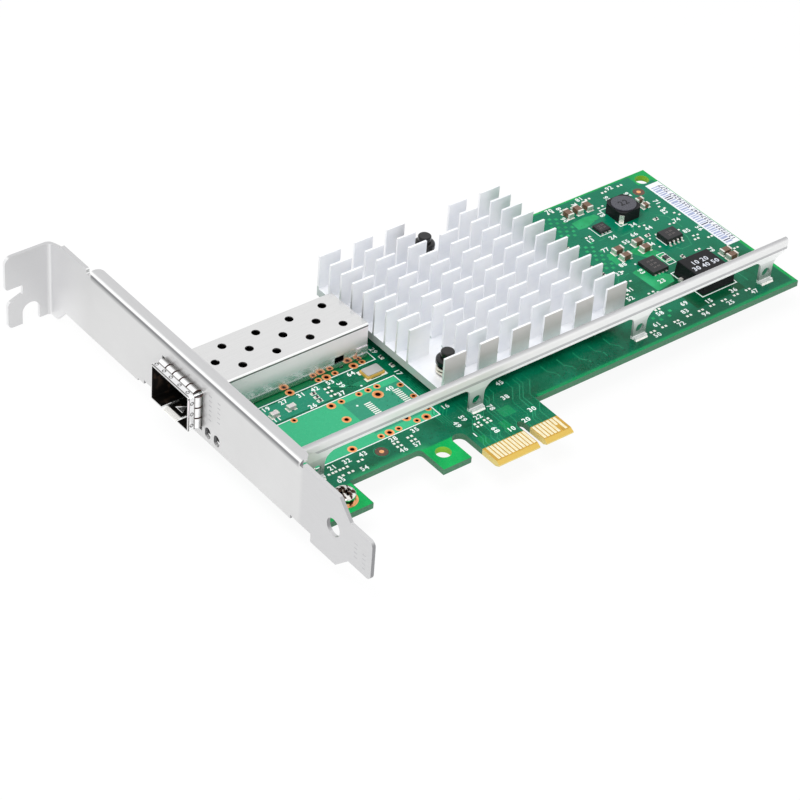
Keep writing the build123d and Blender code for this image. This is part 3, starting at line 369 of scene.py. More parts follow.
def place_of(finish):
    """The X, Y and Z of the shaded point, in metres in the card's frame."""
    nodes = finish.node_tree.nodes
    if "place" not in nodes:
        where = nodes.new("ShaderNodeTexCoord")
        split = nodes.new("ShaderNodeSeparateXYZ")
        split.name = "place"
        finish.node_tree.links.new(where.outputs["Object"], split.inputs["Vector"])
    return nodes["place"].outputs


# %% Zone helpers: boxes, circles and directions
def in_box(finish, low, high, blur=0.06):
    """1 inside a box given in millimetres, 0 outside, None for an open side."""
    inside = None
    for axis in range(len(low)):
        here = place_of(finish)[axis]
        for limit, sign in ((low[axis], 1), (high[axis], -1)):
            if limit is None:
                continue
            outer, inner = (limit - sign * blur) * mm, (limit + sign * blur) * mm
            edge = spread(finish, here, 0, 1, outer, inner)
            inside = edge if inside is None else both(finish, inside, edge)
    return inside


def in_circle(finish, centre, radius, blur=0.08):
    """1 inside an upright round area given in millimetres, 0 outside."""
    across = combine(finish, "SUBTRACT", place_of(finish)[0], centre[0] * mm)
    along = combine(finish, "SUBTRACT", place_of(finish)[1], centre[1] * mm)
    squares = combine(finish, "ADD", combine(finish, "MULTIPLY", across, across),
                      combine(finish, "MULTIPLY", along, along))
    distance = combine(finish, "POWER", squares, 0.5)
    return spread(finish, distance, 1, 0, (radius - blur) * mm, (radius + blur) * mm)


def turned_to(finish, axis, sign=1, start=0.5, end=0.7):
    """1 where the surface faces along an axis (0, 1, 2 for X, Y, Z), 0 where it turns away."""
    facing = finish.node_tree.nodes.new("ShaderNodeTexCoord")
    split = finish.node_tree.nodes.new("ShaderNodeSeparateXYZ")
    finish.node_tree.links.new(facing.outputs["Normal"], split.inputs["Vector"])
    return spread(finish, both(finish, split.outputs[axis], sign), 0, 1, start, end)


def lies_flat(finish):
    """1 where the surface faces up or down, 0 on upright walls."""
    return either(finish, turned_to(finish, 2), turned_to(finish, 2, -1))


# %% [markdown]
# ## The solder mask
# The board is glass laminate under a glossy green lacquer. Copper below the lacquer shows
# lighter and bare laminate brighter still, at the rim, on the hook and on the foot. Soft
# clouds in the colour stand for the inner layers that shine through. A painted sheen lightens
# the far end, and painted shade darkens the lacquer below the bar and the board under the
# cage. The cut edges show greyed laminate with painted shade behind the bracket, and at the
# tongue the lacquer stops and the laminate is gold.

# %% Solder mask: colours of the lacquer, painted sheen and painted shade
mask = new_finish("solder_mask", seen(4, 104, 72), 0.26, Specular_IOR_Level=0.16)
patches = spread(mask, noise(mask, 2.6, detail=1.0), 0, 0.4, 0.47, 0.53)
# Painted sheen lightens the far end, and painted shade darkens the lacquer below the bar.
painted_sheen_far_end = both(mask, in_box(mask, (48.0, 36.0), (None, None), 4.0), 0.6)
painted_shade_below_bar = both(mask, in_box(mask, (28.0, None), (None, 20.0), 3.0), 0.5)
lacquer = layered(mask, cloudy(mask, 9, seen(0, 86, 56), seen(6, 116, 84)),
                  (patches, seen(2, 104, 72)), (painted_sheen_far_end, seen(2, 122, 92)),
                  (painted_shade_below_bar, seen(0, 82, 58)))

copper_zones_and_cage_shade = (
    ((-57.5, 20.7), (-28.8, 37.0), seen(56, 172, 124)),
    ((-28.8, 20.7), (-13.1, 23.0), seen(58, 178, 128)),
    ((-28.8, 23.0), (-13.1, 35.2), seen(48, 142, 112)),
    ((-28.8, 35.2), (-13.1, 37.0), seen(58, 178, 128)),
    ((-57.0, 38.0), (-29.0, 43.6), seen(36, 132, 104)),
    ((-57.0, 44.8), (-13.0, 61.5), seen(4, 110, 62)),
    # Painted shade: the board under the port cage, nearly black.
    ((-58.0, 46.4, -0.7), (-14.1, 60.0, None), seen(10, 22, 16)),
    ((62.2, 18.2), (77.5, 31.4), seen(2, 76, 46)),
    ((-4.1, 7.4), (-1.9, 11.1), seen(8, 128, 74)),
    ((-11.4, 6.6), (-9.2, 9.6), seen(8, 122, 70)),
    ((-1.6, 11.8), (2.0, 14.9), seen(20, 132, 84)),
)
for low, high, colour in copper_zones_and_cage_shade:
    lacquer = mix(mask, in_box(mask, low, high), lacquer, colour)
print("copper zones:", len(copper_zones_and_cage_shade))

# %% Solder mask: bare rim, hook and foot
board_low, board_high = box_mm("board")
rim = 0.9
lower_edge = 13.3
neck_right = 9.6
bare = in_box(mask, (board_high.x - rim, None), (None, None), 0.2)
for low, high in (((None, None), (-43.4, 12.6)), ((-26.5, None), (-14.0, 12.9)),
                  ((84.6, 64.4), (None, None)), ((42.0, board_high.y - 0.5), (None, None))):
    bare = either(mask, bare, in_box(mask, low, high, 0.2))
beside_foot = in_box(mask, (-42.5, None), (-22.0, 14.3), 0.9)
lower_rim = in_box(mask, (neck_right, None), (None, lower_edge + rim), 0.25)
bare_green = cloudy(mask, 6, seen(0, 148, 74), seen(4, 170, 84))
lacquer = layered(mask, lacquer, (beside_foot, seen(34, 142, 92)), (bare, bare_green),
                  (lower_rim, seen(12, 138, 82)))

# %% Solder mask: tongue and cut edges
tongue_left, tongue_top = -13.0, 5.9
bevel_top = 1.0
tongue = in_box(mask, (tongue_left, None), (board_high.x, tongue_top))
bevel = in_box(mask, (tongue_left, None), (board_high.x, bevel_top), 0.1)
# Painted shade darkens the cut edge behind the bracket.
painted_shade_behind_bracket = in_box(mask, (None, 37.6), (board_low.x + 0.4, 60.4))
gold_laminate = cloudy(mask, 0.5, seen(176, 136, 52), seen(200, 160, 70), (1, 4, 1))
gold_laminate = mix(mask, bevel, gold_laminate, seen(204, 172, 86))
cut_laminate = cloudy(mask, 0.35, seen(54, 104, 78), seen(80, 128, 98), (1, 1, 0.25))
cut_laminate = layered(mask, cut_laminate, (tongue, seen(214, 194, 122)),
                       (painted_shade_behind_bracket, seen(24, 20, 18)))
for screw_hole in ((86.9, 65.8), (-20.4, 9.8)):
    cut_laminate = mix(mask, in_circle(mask, screw_hole, 2.3), cut_laminate, seen(138, 190, 54))
surface = mix(mask, tongue, lacquer, gold_laminate)
connect(mask, mix(mask, lies_flat(mask), cut_laminate, surface), "Base Color")
uneven(mask, 1.5, 0.2, 0.32)
relief(mask, noise(mask, 0.6, detail=2.0), 0.008)
put_on(mask, "board")

# %% [markdown]
# ## Gold
# The contacts are hard gold over nickel, smooth and pale, with fine scratches along the
# direction in which the card is pushed into its slot.

# %% Contact gold
gold = new_finish("contact_gold", seen(254, 246, 210), 0.24, 0.85)
scratches = noise(gold, 0.12, (1, 14, 1))
worn = spread(gold, scratches, 0, 1)
connect(gold, mix(gold, worn, seen(255, 251, 226), seen(250, 234, 182)), "Base Color")
connect(gold, spread(gold, scratches, 0.18, 0.36), "Roughness")
put_on(gold, "edge_contacts_front", "edge_contacts_back", "host_contacts")

# %% [markdown]
# ## Folded steel
# The bracket and the bar are folded from plated sheet. Rolling leaves very fine lines along
# the sheet, and the plating is satin, so reflections are wide. The bracket's lines run up
# its face, the bar's along its length. Very soft light leaves white sheet almost without
# shade, so zones paint light and shade into the colour. On the bracket: painted shade below
# the bend, on the flange, on the tab and on the edges that face the contacts, and painted
# highlights along the bend, near the tab and in the lamp slots. On the bar: a painted dark
# reflection on its roll, painted shade below the hem, painted light on the web and a painted
# green reflection of the board low on its legs.

# %% Plated sheet
def plated_sheet(name, grain, light, dark, metallic):
    """Satin plated steel with rolling lines stretched by grain, and its tone so far."""
    steel = new_finish(name, light, 0.42, metallic)
    lines = noise(steel, 0.16, grain, detail=4.0)
    tone = cloudy(steel, 14, light, dark)
    connect(steel, spread(steel, lines, 0.36, 0.5), "Roughness")
    relief(steel, lines, 0.002)
    return steel, mix(steel, spread(steel, lines, 0, 0.2), tone, grey(236))


# %% Bracket: painted shade below the bend, on flange, tab and edges, painted highlights
bracket_outer = -59.26
bracket_top = box_mm("slot_bracket")[1].z
steel, tone = plated_sheet("bracket_steel", (1, 22, 1), grey(221), grey(217), 0.85)
width, height = place_of(steel)[1], place_of(steel)[2]
# Painted shade in a band below the bend beside the flange, and a painted highlight along the bend.
rising = spread(steel, height, 0, 1, (bracket_top - 2.1) * mm, (bracket_top - 0.9) * mm)
ending = spread(steel, height, 1, 0, (bracket_top - 0.5) * mm, (bracket_top - 0.34) * mm)
beside_flange = in_box(steel, (None, 10.8), (bracket_outer + 1.2, 89.6), 0.3)
painted_shade_below_bend = both(steel, both(steel, rising, ending), beside_flange)
painted_bend_highlight = turned_to(steel, 2, 1, 0.46, 0.6)
shaded_flange_face = turned_to(steel, 2, 1, 0.8, 0.95)
tail = in_box(steel, (None, None), (None, 9.6), 0.6)
painted_light_near_tab = both(steel, spread(steel, width, 0, 1, 90 * mm, 105 * mm), turned_to(steel, 0, -1))
downwards = turned_to(steel, 1, -1, 0.5, 0.9)
shaded_tab_face = both(steel, downwards, in_box(steel, (None, 104.6), (None, None)))
lamp_slots = in_box(steel, (None, 38.6, -1.6), (None, 44.6, 1.0))
painted_lamp_slot_highlight = both(steel, turned_to(steel, 2, 1, 0.2, 0.5), lamp_slots)
edges = both(steel, downwards, in_box(steel, (None, None), (bracket_outer + 1.0, 88.0)))
# Painted shade on flange, tab and edges facing the contacts; painted light near the tab and on the
# lamp slot walls.
tone = layered(steel, tone, (painted_shade_below_bend, grey(140, 2)), (painted_bend_highlight, grey(255)),
               (shaded_flange_face, grey(205, 1)), (tail, grey(211, 1)), (painted_light_near_tab, grey(238, 1)),
               (shaded_tab_face, grey(210, 1)), (painted_lamp_slot_highlight, grey(255)), (edges, grey(150, 2)))
connect(steel, tone, "Base Color")
put_on(steel, "slot_bracket")

# %% Bar: painted reflection on the roll, painted shade below the hem, painted board reflection on the legs
hem_bottom = 7.9
hem_front = 17.25
foot_top = 0.8
steel, tone = plated_sheet("bar_steel", (22, 1, 1), grey(236), grey(232), 0.45)
# A painted dark reflection on the upward roll, painted shade below the hem, painted light on the web
# and a painted green reflection of the board low on the legs. The foot stays white.
painted_reflection_on_roll = turned_to(steel, 2, 1, 0.3, 1.0)
painted_shade_below_hem = in_box(steel, (None, None, hem_bottom - 0.3), (None, hem_front, hem_bottom + 0.7), 0.12)
painted_light_on_web = in_box(steel, (None, hem_front + 0.1, 5.4), (None, None, hem_bottom))
painted_board_reflection = both(steel, spread(steel, place_of(steel)[2], 1, 0, 1.4 * mm, 5.6 * mm), 0.85)
foot = in_box(steel, (None, None, None), (None, None, foot_top))
tone = layered(steel, tone, (painted_reflection_on_roll, grey(180, 2)), (painted_shade_below_hem, grey(186, 2)), (painted_light_on_web, grey(246)),
               (painted_board_reflection, seen(96, 124, 110)), (foot, grey(250)))
connect(steel, tone, "Base Color")
put_on(steel, "stiffener_bar")

# %% [markdown]
# ## The port's bright sheet
# The cage is bright plated sheet, smooth enough to mirror the board beside it. Its
# reflections blur with distance, which a low roughness gives by itself. The spring collar
# is thinner and brighter still. The inside is painted shade with patches of painted brown
# reflection, and the walls of the slits between the collar's fingers are painted dark brown
# shade. The near side gets painted light towards its top, with a painted shade line and a
# painted highlight along its top edge, and the latch lip at the mouth is painted light.

# %% Bright sheet
cage_side, cage_far_side = 46.1, 60.3
cage_roof = 9.35
wall = 0.3
skin = 0.02
cage_sheet = new_finish("cage_steel", grey(222), 0.2, 0.92)
cage_lines = noise(cage_sheet, 0.2, (24, 1, 1), detail=4.0)
tone = mix(cage_sheet, spread(cage_sheet, cage_lines, 0, 1), grey(225), grey(221))
height = place_of(cage_sheet)[2]
# Painted light up the near side, a painted shade line under its top edge and a painted highlight on
# that edge.
near_side = in_box(cage_sheet, (None, None, None), (None, cage_side + 0.08, cage_roof - 0.12), 0.02)
painted_light_up_side = both(cage_sheet, near_side, spread(cage_sheet, height, 0, 1, 1.6 * mm, 6.4 * mm))
painted_shade_line_under_edge = in_box(cage_sheet, (None, None, cage_roof - 0.75),
                    (None, cage_side + 0.08, cage_roof - 0.35), 0.06)
painted_edge_highlight = in_box(cage_sheet, (None, None, cage_roof - 0.3),
                      (None, cage_side + 0.4, None), 0.08)
# Painted shade inside, with patches of painted brown reflection, and painted light on the latch lip at
# the mouth.
inside = in_box(cage_sheet, (None, cage_side + wall - skin, wall - skin),
                (None, cage_far_side - wall + skin, cage_roof - wall + skin), 0.01)
brown_reflection_patches = spread(cage_sheet, noise(cage_sheet, 2.2), 0, 1, 0.55, 0.7)
painted_inside_shade = mix(cage_sheet, brown_reflection_patches, seen(9, 8, 7), seen(66, 52, 42))
painted_light_lip = in_box(cage_sheet, (None, 50.6, None), (-61.2, 55.8, wall + 0.05), 0.05)
tone = layered(cage_sheet, tone, (painted_light_up_side, seen(255, 243, 249)), (painted_shade_line_under_edge, seen(84, 86, 84)),
               (painted_edge_highlight, grey(255)), (inside, painted_inside_shade), (painted_light_lip, seen(252, 251, 247)))
dulled = either(cage_sheet, either(cage_sheet, painted_light_up_side, inside), painted_light_lip)
connect(cage_sheet, tone, "Base Color")
connect(cage_sheet, spread(cage_sheet, dulled, 0.92, 0.12, 0, 1), "Metallic")
connect(cage_sheet, spread(cage_sheet, dulled, 0.16, 0.42, 0, 1), "Roughness")
put_on(cage_sheet, "port_cage")

# %% Spring collar: painted shade on the slit walls, the crease, the front edge and the finger backs
collar_front = box_mm("cage_spring_collar")[0].x
finger_start = collar_front + 1.25
finger_end = finger_start + 2.1
collar_steel = new_finish("spring_sheet", grey(250, 1), 0.2, 0.5)
lines = noise(collar_steel, 0.15, (1, 1, 12), detail=3.0)
tone = mix(collar_steel, spread(collar_steel, lines, 0, 1), grey(250, 1), grey(243, 1))
# Painted shade on the backs of the fingers, in the crease at their roots, on the front edge and on the
# slit walls.
painted_shade_on_finger_backs = spread(collar_steel, place_of(collar_steel)[0], 0, 1,
                      (finger_start + 0.8) * mm, (finger_start + 1.35) * mm)
painted_shade_in_crease = in_box(collar_steel, (finger_start - 0.1,), (finger_start + 0.12,), 0.05)
shaded_front_edge = turned_to(collar_steel, 0, -1, 0.8, 0.95)
on_roof = in_box(collar_steel, (finger_start, cage_side + 0.2, cage_roof),
                 (None, cage_far_side - 0.2, None), 0.02)
on_side = in_box(collar_steel, (finger_start, None, 0.2), (None, cage_side, cage_roof - 0.2), 0.02)
sideways = either(collar_steel, turned_to(collar_steel, 1), turned_to(collar_steel, 1, -1))
shaded_slit_walls = either(collar_steel, both(collar_steel, sideways, on_roof),
                    both(collar_steel, lies_flat(collar_steel), on_side))
tone = layered(collar_steel, tone, (painted_shade_on_finger_backs, seen(116, 114, 112)),
               (painted_shade_in_crease, seen(150, 148, 146)), (shaded_front_edge, seen(120, 118, 116)),
               (shaded_slit_walls, seen(66, 30, 20)))
connect(collar_steel, tone, "Base Color")
connect(collar_steel, spread(collar_steel, shaded_slit_walls, 0.5, 0.0, 0, 1), "Metallic")
connect(collar_steel, spread(collar_steel, lines, 0.16, 0.26), "Roughness")
put_on(collar_steel, "cage_spring_collar")

# %% [markdown]
# ## The heat sink
# It is extruded aluminium with clear anodising: a cool, slightly blue white with faint
# lines along the extrusion. The side of its base that faces the bracket and the row of
# fins beside the bar look onto darker things, so two zones paint that darker reflection
# into their colour.

# %% Anodised aluminium
sink_low = box_mm("heat_sink")[0]
base_height = 2.6
fin_middle = 8.6
aluminium = new_finish("sink_aluminium", seen(246, 247, 250), 0.38, 0.32)
draw_lines = noise(aluminium, 0.22, (20, 1, 1), detail=4.0)
# Painted darker reflection on the base side facing the bracket and on the front fins.
shaded_base_side = both(aluminium, turned_to(aluminium, 0, -1),
                 in_box(aluminium, (None, None, None), (None, None, sink_low.z + base_height), 0.2))
shaded_front_fins = both(aluminium, turned_to(aluminium, 1, -1),
                  in_box(aluminium, (None, None, fin_middle), (None, sink_low.y + 1.2, None), 1.4))
tone = layered(aluminium, cloudy(aluminium, 6, seen(249, 250, 252), seen(240, 242, 247)),
               (spread(aluminium, draw_lines, 0, 0.3), grey(253, 1)),
               (shaded_base_side, seen(196, 206, 204)), (shaded_front_fins, seen(206, 202, 199)))
connect(aluminium, tone, "Base Color")
connect(aluminium, spread(aluminium, draw_lines, 0.3, 0.44), "Roughness")
relief(aluminium, draw_lines, 0.003)
put_on(aluminium, "heat_sink")

# %% [markdown]
# ## Small metal parts
# Screws are nickel plated; dark brown patches in their colour are painted reflections of
# their surroundings. Springs are plain wire, pads and leads are dipped in tin, and the
# crystal's lid is satin.

# %% Screws and springs
nickel = new_finish("screw_steel", seen(196, 190, 180), 0.16, 1.0)
# Painted reflections: dark brown patches in the nickel's colour.
painted_reflections = spread(nickel, noise(nickel, 1.1, (1, 2, 1), detail=1.5), 0, 1, 0.47, 0.55)
connect(nickel, mix(nickel, painted_reflections, seen(66, 48, 36), seen(242, 240, 236)), "Base Color")
uneven(nickel, 0.5, 0.1, 0.24)
put_on(nickel, "bracket_screws")

wire = new_finish("spring_steel", seen(232, 228, 214), 0.3, 0.8)
uneven(wire, 0.2, 0.24, 0.4)
put_on(wire, "pin_springs")

# %% Tin, pads and lid
tin = tinted("tin", seen(240, 238, 231), 0.3, seen(248, 247, 241), seen(222, 219, 210), 0.26, 0.55)
uneven(tin, 0.4, 0.18, 0.42)
relief(tin, noise(tin, 0.5, detail=1.0), 0.012)
put_on(tin, "inductor_terminals", "power_module_pins", "memory_chip_leads", "regulator_chip_pads",
       "power_chip_leads", "capacitor_ends", "resistor_ends")

bare_pad = tinted("pad_tin", seen(250, 249, 243), 0.3, seen(253, 252, 247), seen(238, 236, 228),
                  0.3, 0.25)
uneven(bare_pad, 0.4, 0.2, 0.4)
put_on(bare_pad, "leg_solder", "solder_pads")

lid = new_finish("lid_metal", seen(214, 212, 208), 0.34, 0.85)
connect(lid, spread(lid, noise(lid, 0.12, (10, 1, 1)), 0.28, 0.42), "Roughness")
put_on(lid, "crystal_lid")

# %% [markdown]
# ## Copper
# The plated holes keep bare copper rings, warm orange with a duller tone where the air has
# reached them.

# %% Copper
copper = tinted("copper", seen(238, 152, 92), 0.5, seen(255, 190, 132), seen(240, 158, 100),
                0.34, 0.6)
uneven(copper, 0.3, 0.26, 0.44)
put_on(copper, "via_rings", "fiducial_dots")

# %% [markdown]
# ## Moulded black and ceramics
# Chip bodies are moulded epoxy with a fine spark-eroded grain, so they are dark grey
# rather than black. The push pins are smooth nylon. Capacitors are fired ceramic, brown
# with a slight speckle, but two beside the port are pale, so a zone changes their colour.
# The inductor's core is ground ferrite.

# %% Plastics and ceramics
def moulded(name, dark, light, roughness, grain_size, depth, specular=0.5):
    """A moulding or ceramic with a grain of grain_size millimetres."""
    body = new_finish(name, dark, roughness, Specular_IOR_Level=specular)
    grain = noise(body, grain_size, detail=2.0)
    connect(body, mix(body, spread(body, grain, 0, 1), dark, light), "Base Color")
    connect(body, spread(body, grain, roughness - 0.08, roughness + 0.08), "Roughness")
    relief(body, grain, depth)
    return body


epoxy = moulded("black_mould", grey(10, 3), seen(22, 21, 26), 0.5, 0.14, 0.01, 0.58)
put_on(epoxy, "controller_chip", "host_connector", "memory_chip", "regulator_chip", "power_chip")
dull_black = moulded("dull_black_mould", grey(9, 3), grey(20, 4), 0.55, 0.2, 0.01, 0.28)
put_on(dull_black, "power_inductor", "power_module")
nylon = moulded("pin_plastic", grey(3, 1), seen(9, 8, 10), 0.14, 0.4, 0.002)
put_on(nylon, "push_pins")
put_on(moulded("core_ferrite", grey(56, 9), grey(74, 10), 0.3, 0.2, 0.005), "inductor_core")
put_on(moulded("resistor_ceramic", seen(30, 28, 32), seen(44, 42, 48), 0.3, 0.2, 0.006),
       "resistor_bodies")
put_on(moulded("crystal_ceramic", seen(196, 152, 58), seen(226, 184, 84), 0.36, 0.25, 0.006),
       "crystal_base")
put_on(moulded("label_film", seen(234, 237, 243), seen(242, 244, 249), 0.5, 0.8, 0.004), "bar_label")
put_on(moulded("soft_pad", grey(122, 6), grey(140, 6), 0.8, 0.3, 0.02), "thermal_pad")
lens_plastic = new_finish("lamp_lens", seen(12, 10, 9), 0.4, Specular_IOR_Level=0.06)
uneven(lens_plastic, 0.4, 0.3, 0.5)
put_on(lens_plastic, "port_lights")

# %% Capacitors: brown, and two pale ones
ceramic = moulded("capacitor_ceramic", seen(92, 68, 53), seen(126, 96, 77), 0.4, 0.12, 0.01)
brown = ceramic.node_tree.nodes["Principled BSDF"].inputs["Base Color"].links[0].from_socket
pale_pair = in_box(ceramic, (-46.0, 38.0), (-37.0, 42.0))
connect(ceramic, mix(ceramic, pale_pair, brown, seen(204, 197, 198)), "Base Color")
put_on(ceramic, "capacitor_bodies")

# %% [markdown]
# ## Thin shapes
# Print, tracks and pads are only hundredths of a millimetre thick. They could be painted,
# but as real shapes they keep sharp edges at any size. Every one of them is a flat outline
# that is pulled up a little, so one helper makes them all: it takes outlines in
# millimetres and gives one closed piece on a plane of choice.

# %% Thin shape helper
sunk = 0.01


def thin_piece(name, outlines, thickness, finish, plane=None, level=0.0):
    """One piece of flat outlines, thickness millimetres in all, sunk a little into its plane."""
    shape = bmesh.new()
    base = level - sunk
    for outline in outlines:
        below, above = [[shape.verts.new((x * mm, y * mm, height * mm)) for x, y in outline]
                        for height in (base, base + thickness)]
        shape.faces.new(above)
        shape.faces.new(below[::-1])
        wall(shape, below, above)
    bmesh.ops.recalc_face_normals(shape, faces=shape.faces)
    return finished(name, shape, finish, plane)


def wall(shape, one, other):
    """A closed band of faces between two loops of the same length."""
    for k in range(len(one)):
        after = (k + 1) % len(one)
        shape.faces.new((one[k], one[after], other[after], other[k]))


def finished(name, shape, finish, plane=None):
    """Turns a bmesh into a piece with its finish that rides on the card."""
    if plane is not None:
        bmesh.ops.transform(shape, matrix=Matrix(plane), verts=shape.verts)
    mesh = bpy.data.meshes.new(name)
    shape.to_mesh(mesh)
    shape.free()
    mesh.materials.append(finish)
    piece = bpy.data.objects.new(name, mesh)
    bpy.context.scene.collection.objects.link(piece)
    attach(piece, "root")
    print(name, "has", len(mesh.polygons), "faces")
    return piece


# %% Outlines
def block(x, y, width, height):
    """The outline of a rectangle round x, y."""
    return [(x - width / 2, y - height / 2), (x + width / 2, y - height / 2),
            (x + width / 2, y + height / 2), (x - width / 2, y + height / 2)]


def disc(x, y, radius, sides=20):
    """The outline of a round spot."""
    angles = [2 * pi * k / sides for k in range(sides)]
    return [(x + radius * cos(angle), y + radius * sin(angle)) for angle in angles]


def line(points, width):
    """The outline of a line of this width along points, mitred at its corners."""
    left, right = [], []
    for k, point in enumerate(points):
        here = Vector(point)
        before = (here - Vector(points[k - 1])).normalized() if k else None
        after = (Vector(points[k + 1]) - here).normalized() if k + 1 < len(points) else None
        along = ((before or after) + (after or before)).normalized()
        side = Vector((-along.y, along.x))
        straight = before or after
        reach = width / 2 / max(0.3, side.dot(Vector((-straight.y, straight.x))))
        left.append(tuple(here + side * reach))
        right.append(tuple(here - side * reach))
    return left + right[::-1]


# %% [markdown]
# ## Tracks, dots and through holes of the lacquered copper
# Tracks run from the contacts up to the chip, in bundles with slanted bends. Beside the
# heat sink a field of small squares evens out the copper. They lie below the lacquer, so
# they share its gloss and are only a little lighter. Tiny filled holes show as dark spots.

# %% Lacquer over copper
track_green = tinted("lacquer_on_tracks", seen(40, 146, 104), 4, seen(6, 122, 84),
                     seen(40, 148, 106), 0.26, Specular_IOR_Level=0.22)
dark_green = tinted("lacquer_on_holes", seen(6, 62, 42), 1.0, seen(4, 54, 36), seen(12, 76, 52),
                    0.3, Specular_IOR_Level=0.22)
field_green = tinted("lacquer_on_copper", seen(24, 156, 96), 5, seen(14, 142, 84),
                     seen(42, 170, 110), 0.26, Specular_IOR_Level=0.16)
print("lacquers:", track_green.name, dark_green.name, field_green.name)

# %% Copper fields
fields = [((59.7, 60.8), (64.0, 61.2), (67.0, 60.7), (67.3, 59.1), (61.9, 57.5), (59.5, 57.8)),
          ((58.0, 46.0), (60.2, 46.1), (59.2, 42.4), (57.6, 41.6)),
          ((58.7, 37.4), (61.3, 37.9), (66.0, 31.8), (65.0, 29.4), (59.0, 28.5)),
          ((63.1, 44.2), (68.0, 45.1), (69.7, 40.8), (71.0, 36.0), (68.5, 35.9))]
thin_piece("copper_fields", fields, 0.016, field_green)

# %% Tracks: bundles from the contacts
track_width = 0.2
contact_top = 5.7
bundle_top = 21.5
tracks = []
for k in (0, 1, 3, 4, 5, 7, 8, 10):
    x, bend, rise = -11.45 + k, 7.0 + 0.35 * (k % 4), 0.5 * k
    tracks.append(line([(x, contact_top), (x, bend), (x + 1.2, bend + 1.6), (x + 1.2, 12.2 + rise),
                        (x + 3.4, 15.0 + rise), (x + 3.4, bundle_top)], track_width))
for k in (0, 2, 3, 5):
    x, rise = 1.5 + k, 0.4 * k
    tracks.append(line([(x, contact_top), (x, 7.2 + rise), (x + 2.0, 9.8 + rise), (x + 2.0, 15.0),
                        (x + 5.2, 19.0), (x + 5.2, bundle_top)], track_width))
print("tracks from the contacts:", len(tracks))

# %% Tracks: short bundles and single ones
for k in range(5):
    x, drop = 17.0 + 4.7 * k, 0.25 * (k % 3)
    tracks.append(line([(x, bundle_top), (x, 19.2 - drop), (x + 1.4, 17.6 - drop),
                        (x + 1.4, 16.2)], 0.3))
for k in range(5):
    x, step = -12.0 + 0.55 * k, 0.55 * k
    tracks.append(line([(x, 33.5 + step), (x, 28.0), (x, 24.0 - step), (x - 2.2, 21.6 - step),
                        (x - 2.2, 16.4 - step)], track_width))
for k in range(6):
    x, y = -27.0 + 0.6 * k, 39.6 - 0.3 * k
    tracks.append(line([(x, 43.2), (x, y + 2.2), (x + 2.4, y), (-19.6, y)], track_width))
single_tracks = (
    ((74.6, 39.6), (75.2, 38.2), (78.5, 38.2), (79.9, 41.4), (79.9, 43.0)),
    ((81.6, 45.0), (81.6, 50.2), (79.4, 52.6)),
    ((60.4, 51.6), (62.4, 51.6), (62.4, 53.4)),
    ((66.2, 50.2), (70.4, 50.2), (71.6, 51.6), (75.4, 51.6)),
    ((52.2, 35.0), (54.6, 37.6), (57.8, 37.6)),
    ((53.0, 24.4), (57.2, 24.4), (58.6, 26.0), (64.4, 26.0)),
    ((80.0, 20.0), (80.0, 24.6), (82.6, 27.4)),
)
tracks += [line(points, 0.26) for points in single_tracks]
thin_piece("board_tracks", tracks, 0.022, track_green)

# %% Copper dots
dot_side = 0.8
first_dots = Vector((54.8, 65.8))
to_right = Vector((1.45, -0.8))
to_below = Vector((-0.85, -1.5))
dots = []
for row in range(20):
    for column in range(-2, 12):
        spot = first_dots + to_right * column + to_below * row
        in_upper_field = 53.3 < spot.x < 59.3 and 56.6 < spot.y < 66.4
        in_lower_field = 54.4 < spot.x < 58.9 and 41.4 < spot.y < 52.2
        if in_upper_field or in_lower_field:
            dots.append(block(spot.x, spot.y, dot_side, dot_side))
for x, y in ((50.8, 21.1), (52.1, 19.7), (54.7, 19.8), (56.1, 21.2)):
    dots.append(block(x, y, dot_side, dot_side))
thin_piece("copper_dots", dots, 0.02, field_green)

# %% Filled holes
spots = []
for k in range(64):
    x = 16.5 + 0.43 * k + 0.3 * sin(5.1 * k)
    y = 16.6 + 1.5 * sin(2.3 * k) + 0.6 * cos(7.9 * k)
    spots.append(disc(x, y, 0.17, 10))
for k in range(40):
    x = -36.5 + 0.62 * k
    y = 15.6 + 1.3 * sin(3.7 * k) + 0.5 * cos(1.9 * k)
    if not -33.6 < x < -29.3:
        spots.append(disc(x, y, 0.13, 10))
fine = [(-24.0 + 0.16 * k + 1.4 * sin(4.4 * k), 41.0 + 1.7 * cos(2.9 * k)) for k in range(30)]
fine += [(57.6 + 0.36 * k + 1.6 * sin(3.3 * k), 56.0 + 2.6 * cos(2.1 * k)) for k in range(26)]
fine += [(-24.0 + 9.0 * abs(sin(2.7 * k)), 26.4 + 6.0 * abs(cos(1.7 * k))) for k in range(18)]
spots += [disc(x, y, 0.12, 10) for x, y in fine]
thin_piece("filled_holes", spots, 0.024, dark_green)

# %% [markdown]
# ## The plated holes
# A ring is only the end of a copper sleeve that lines the hole. Looked into from the side
# the sleeve falls into shade and turns dark brown. The sleeves are turned profiles that go
# through the board and end in a flat ring on its back. Where they stand is read from the
# copper rings of the frame.

# %% Solids of a node
def islands(name):
    """The (low, high) corners, in millimetres, of each separate solid of a CAD node."""
    shape = bmesh.new()
    shape.from_mesh(card[name].data)
    bmesh.ops.remove_doubles(shape, verts=shape.verts, dist=1e-7)
    found, left = [], set(shape.verts)
    while left:
        reached, group = [left.pop()], []
        while reached:
            here = reached.pop()
            group.append(here.co.copy())
            for edge in here.link_edges:
                other = edge.other_vert(here)
                if other in left:
                    left.remove(other)
                    reached.append(other)
        found.append([Vector([end(p[i] for p in group) for i in range(3)]) / mm
                      for end in (min, max)])
    shape.free()
    return sorted(found, key=lambda box: (round(box[0].x, 3), round(box[0].y, 3)))


def middle(low, high):
    """The x and y half way between two corners."""
    return (low.x + high.x) / 2, (low.y + high.y) / 2


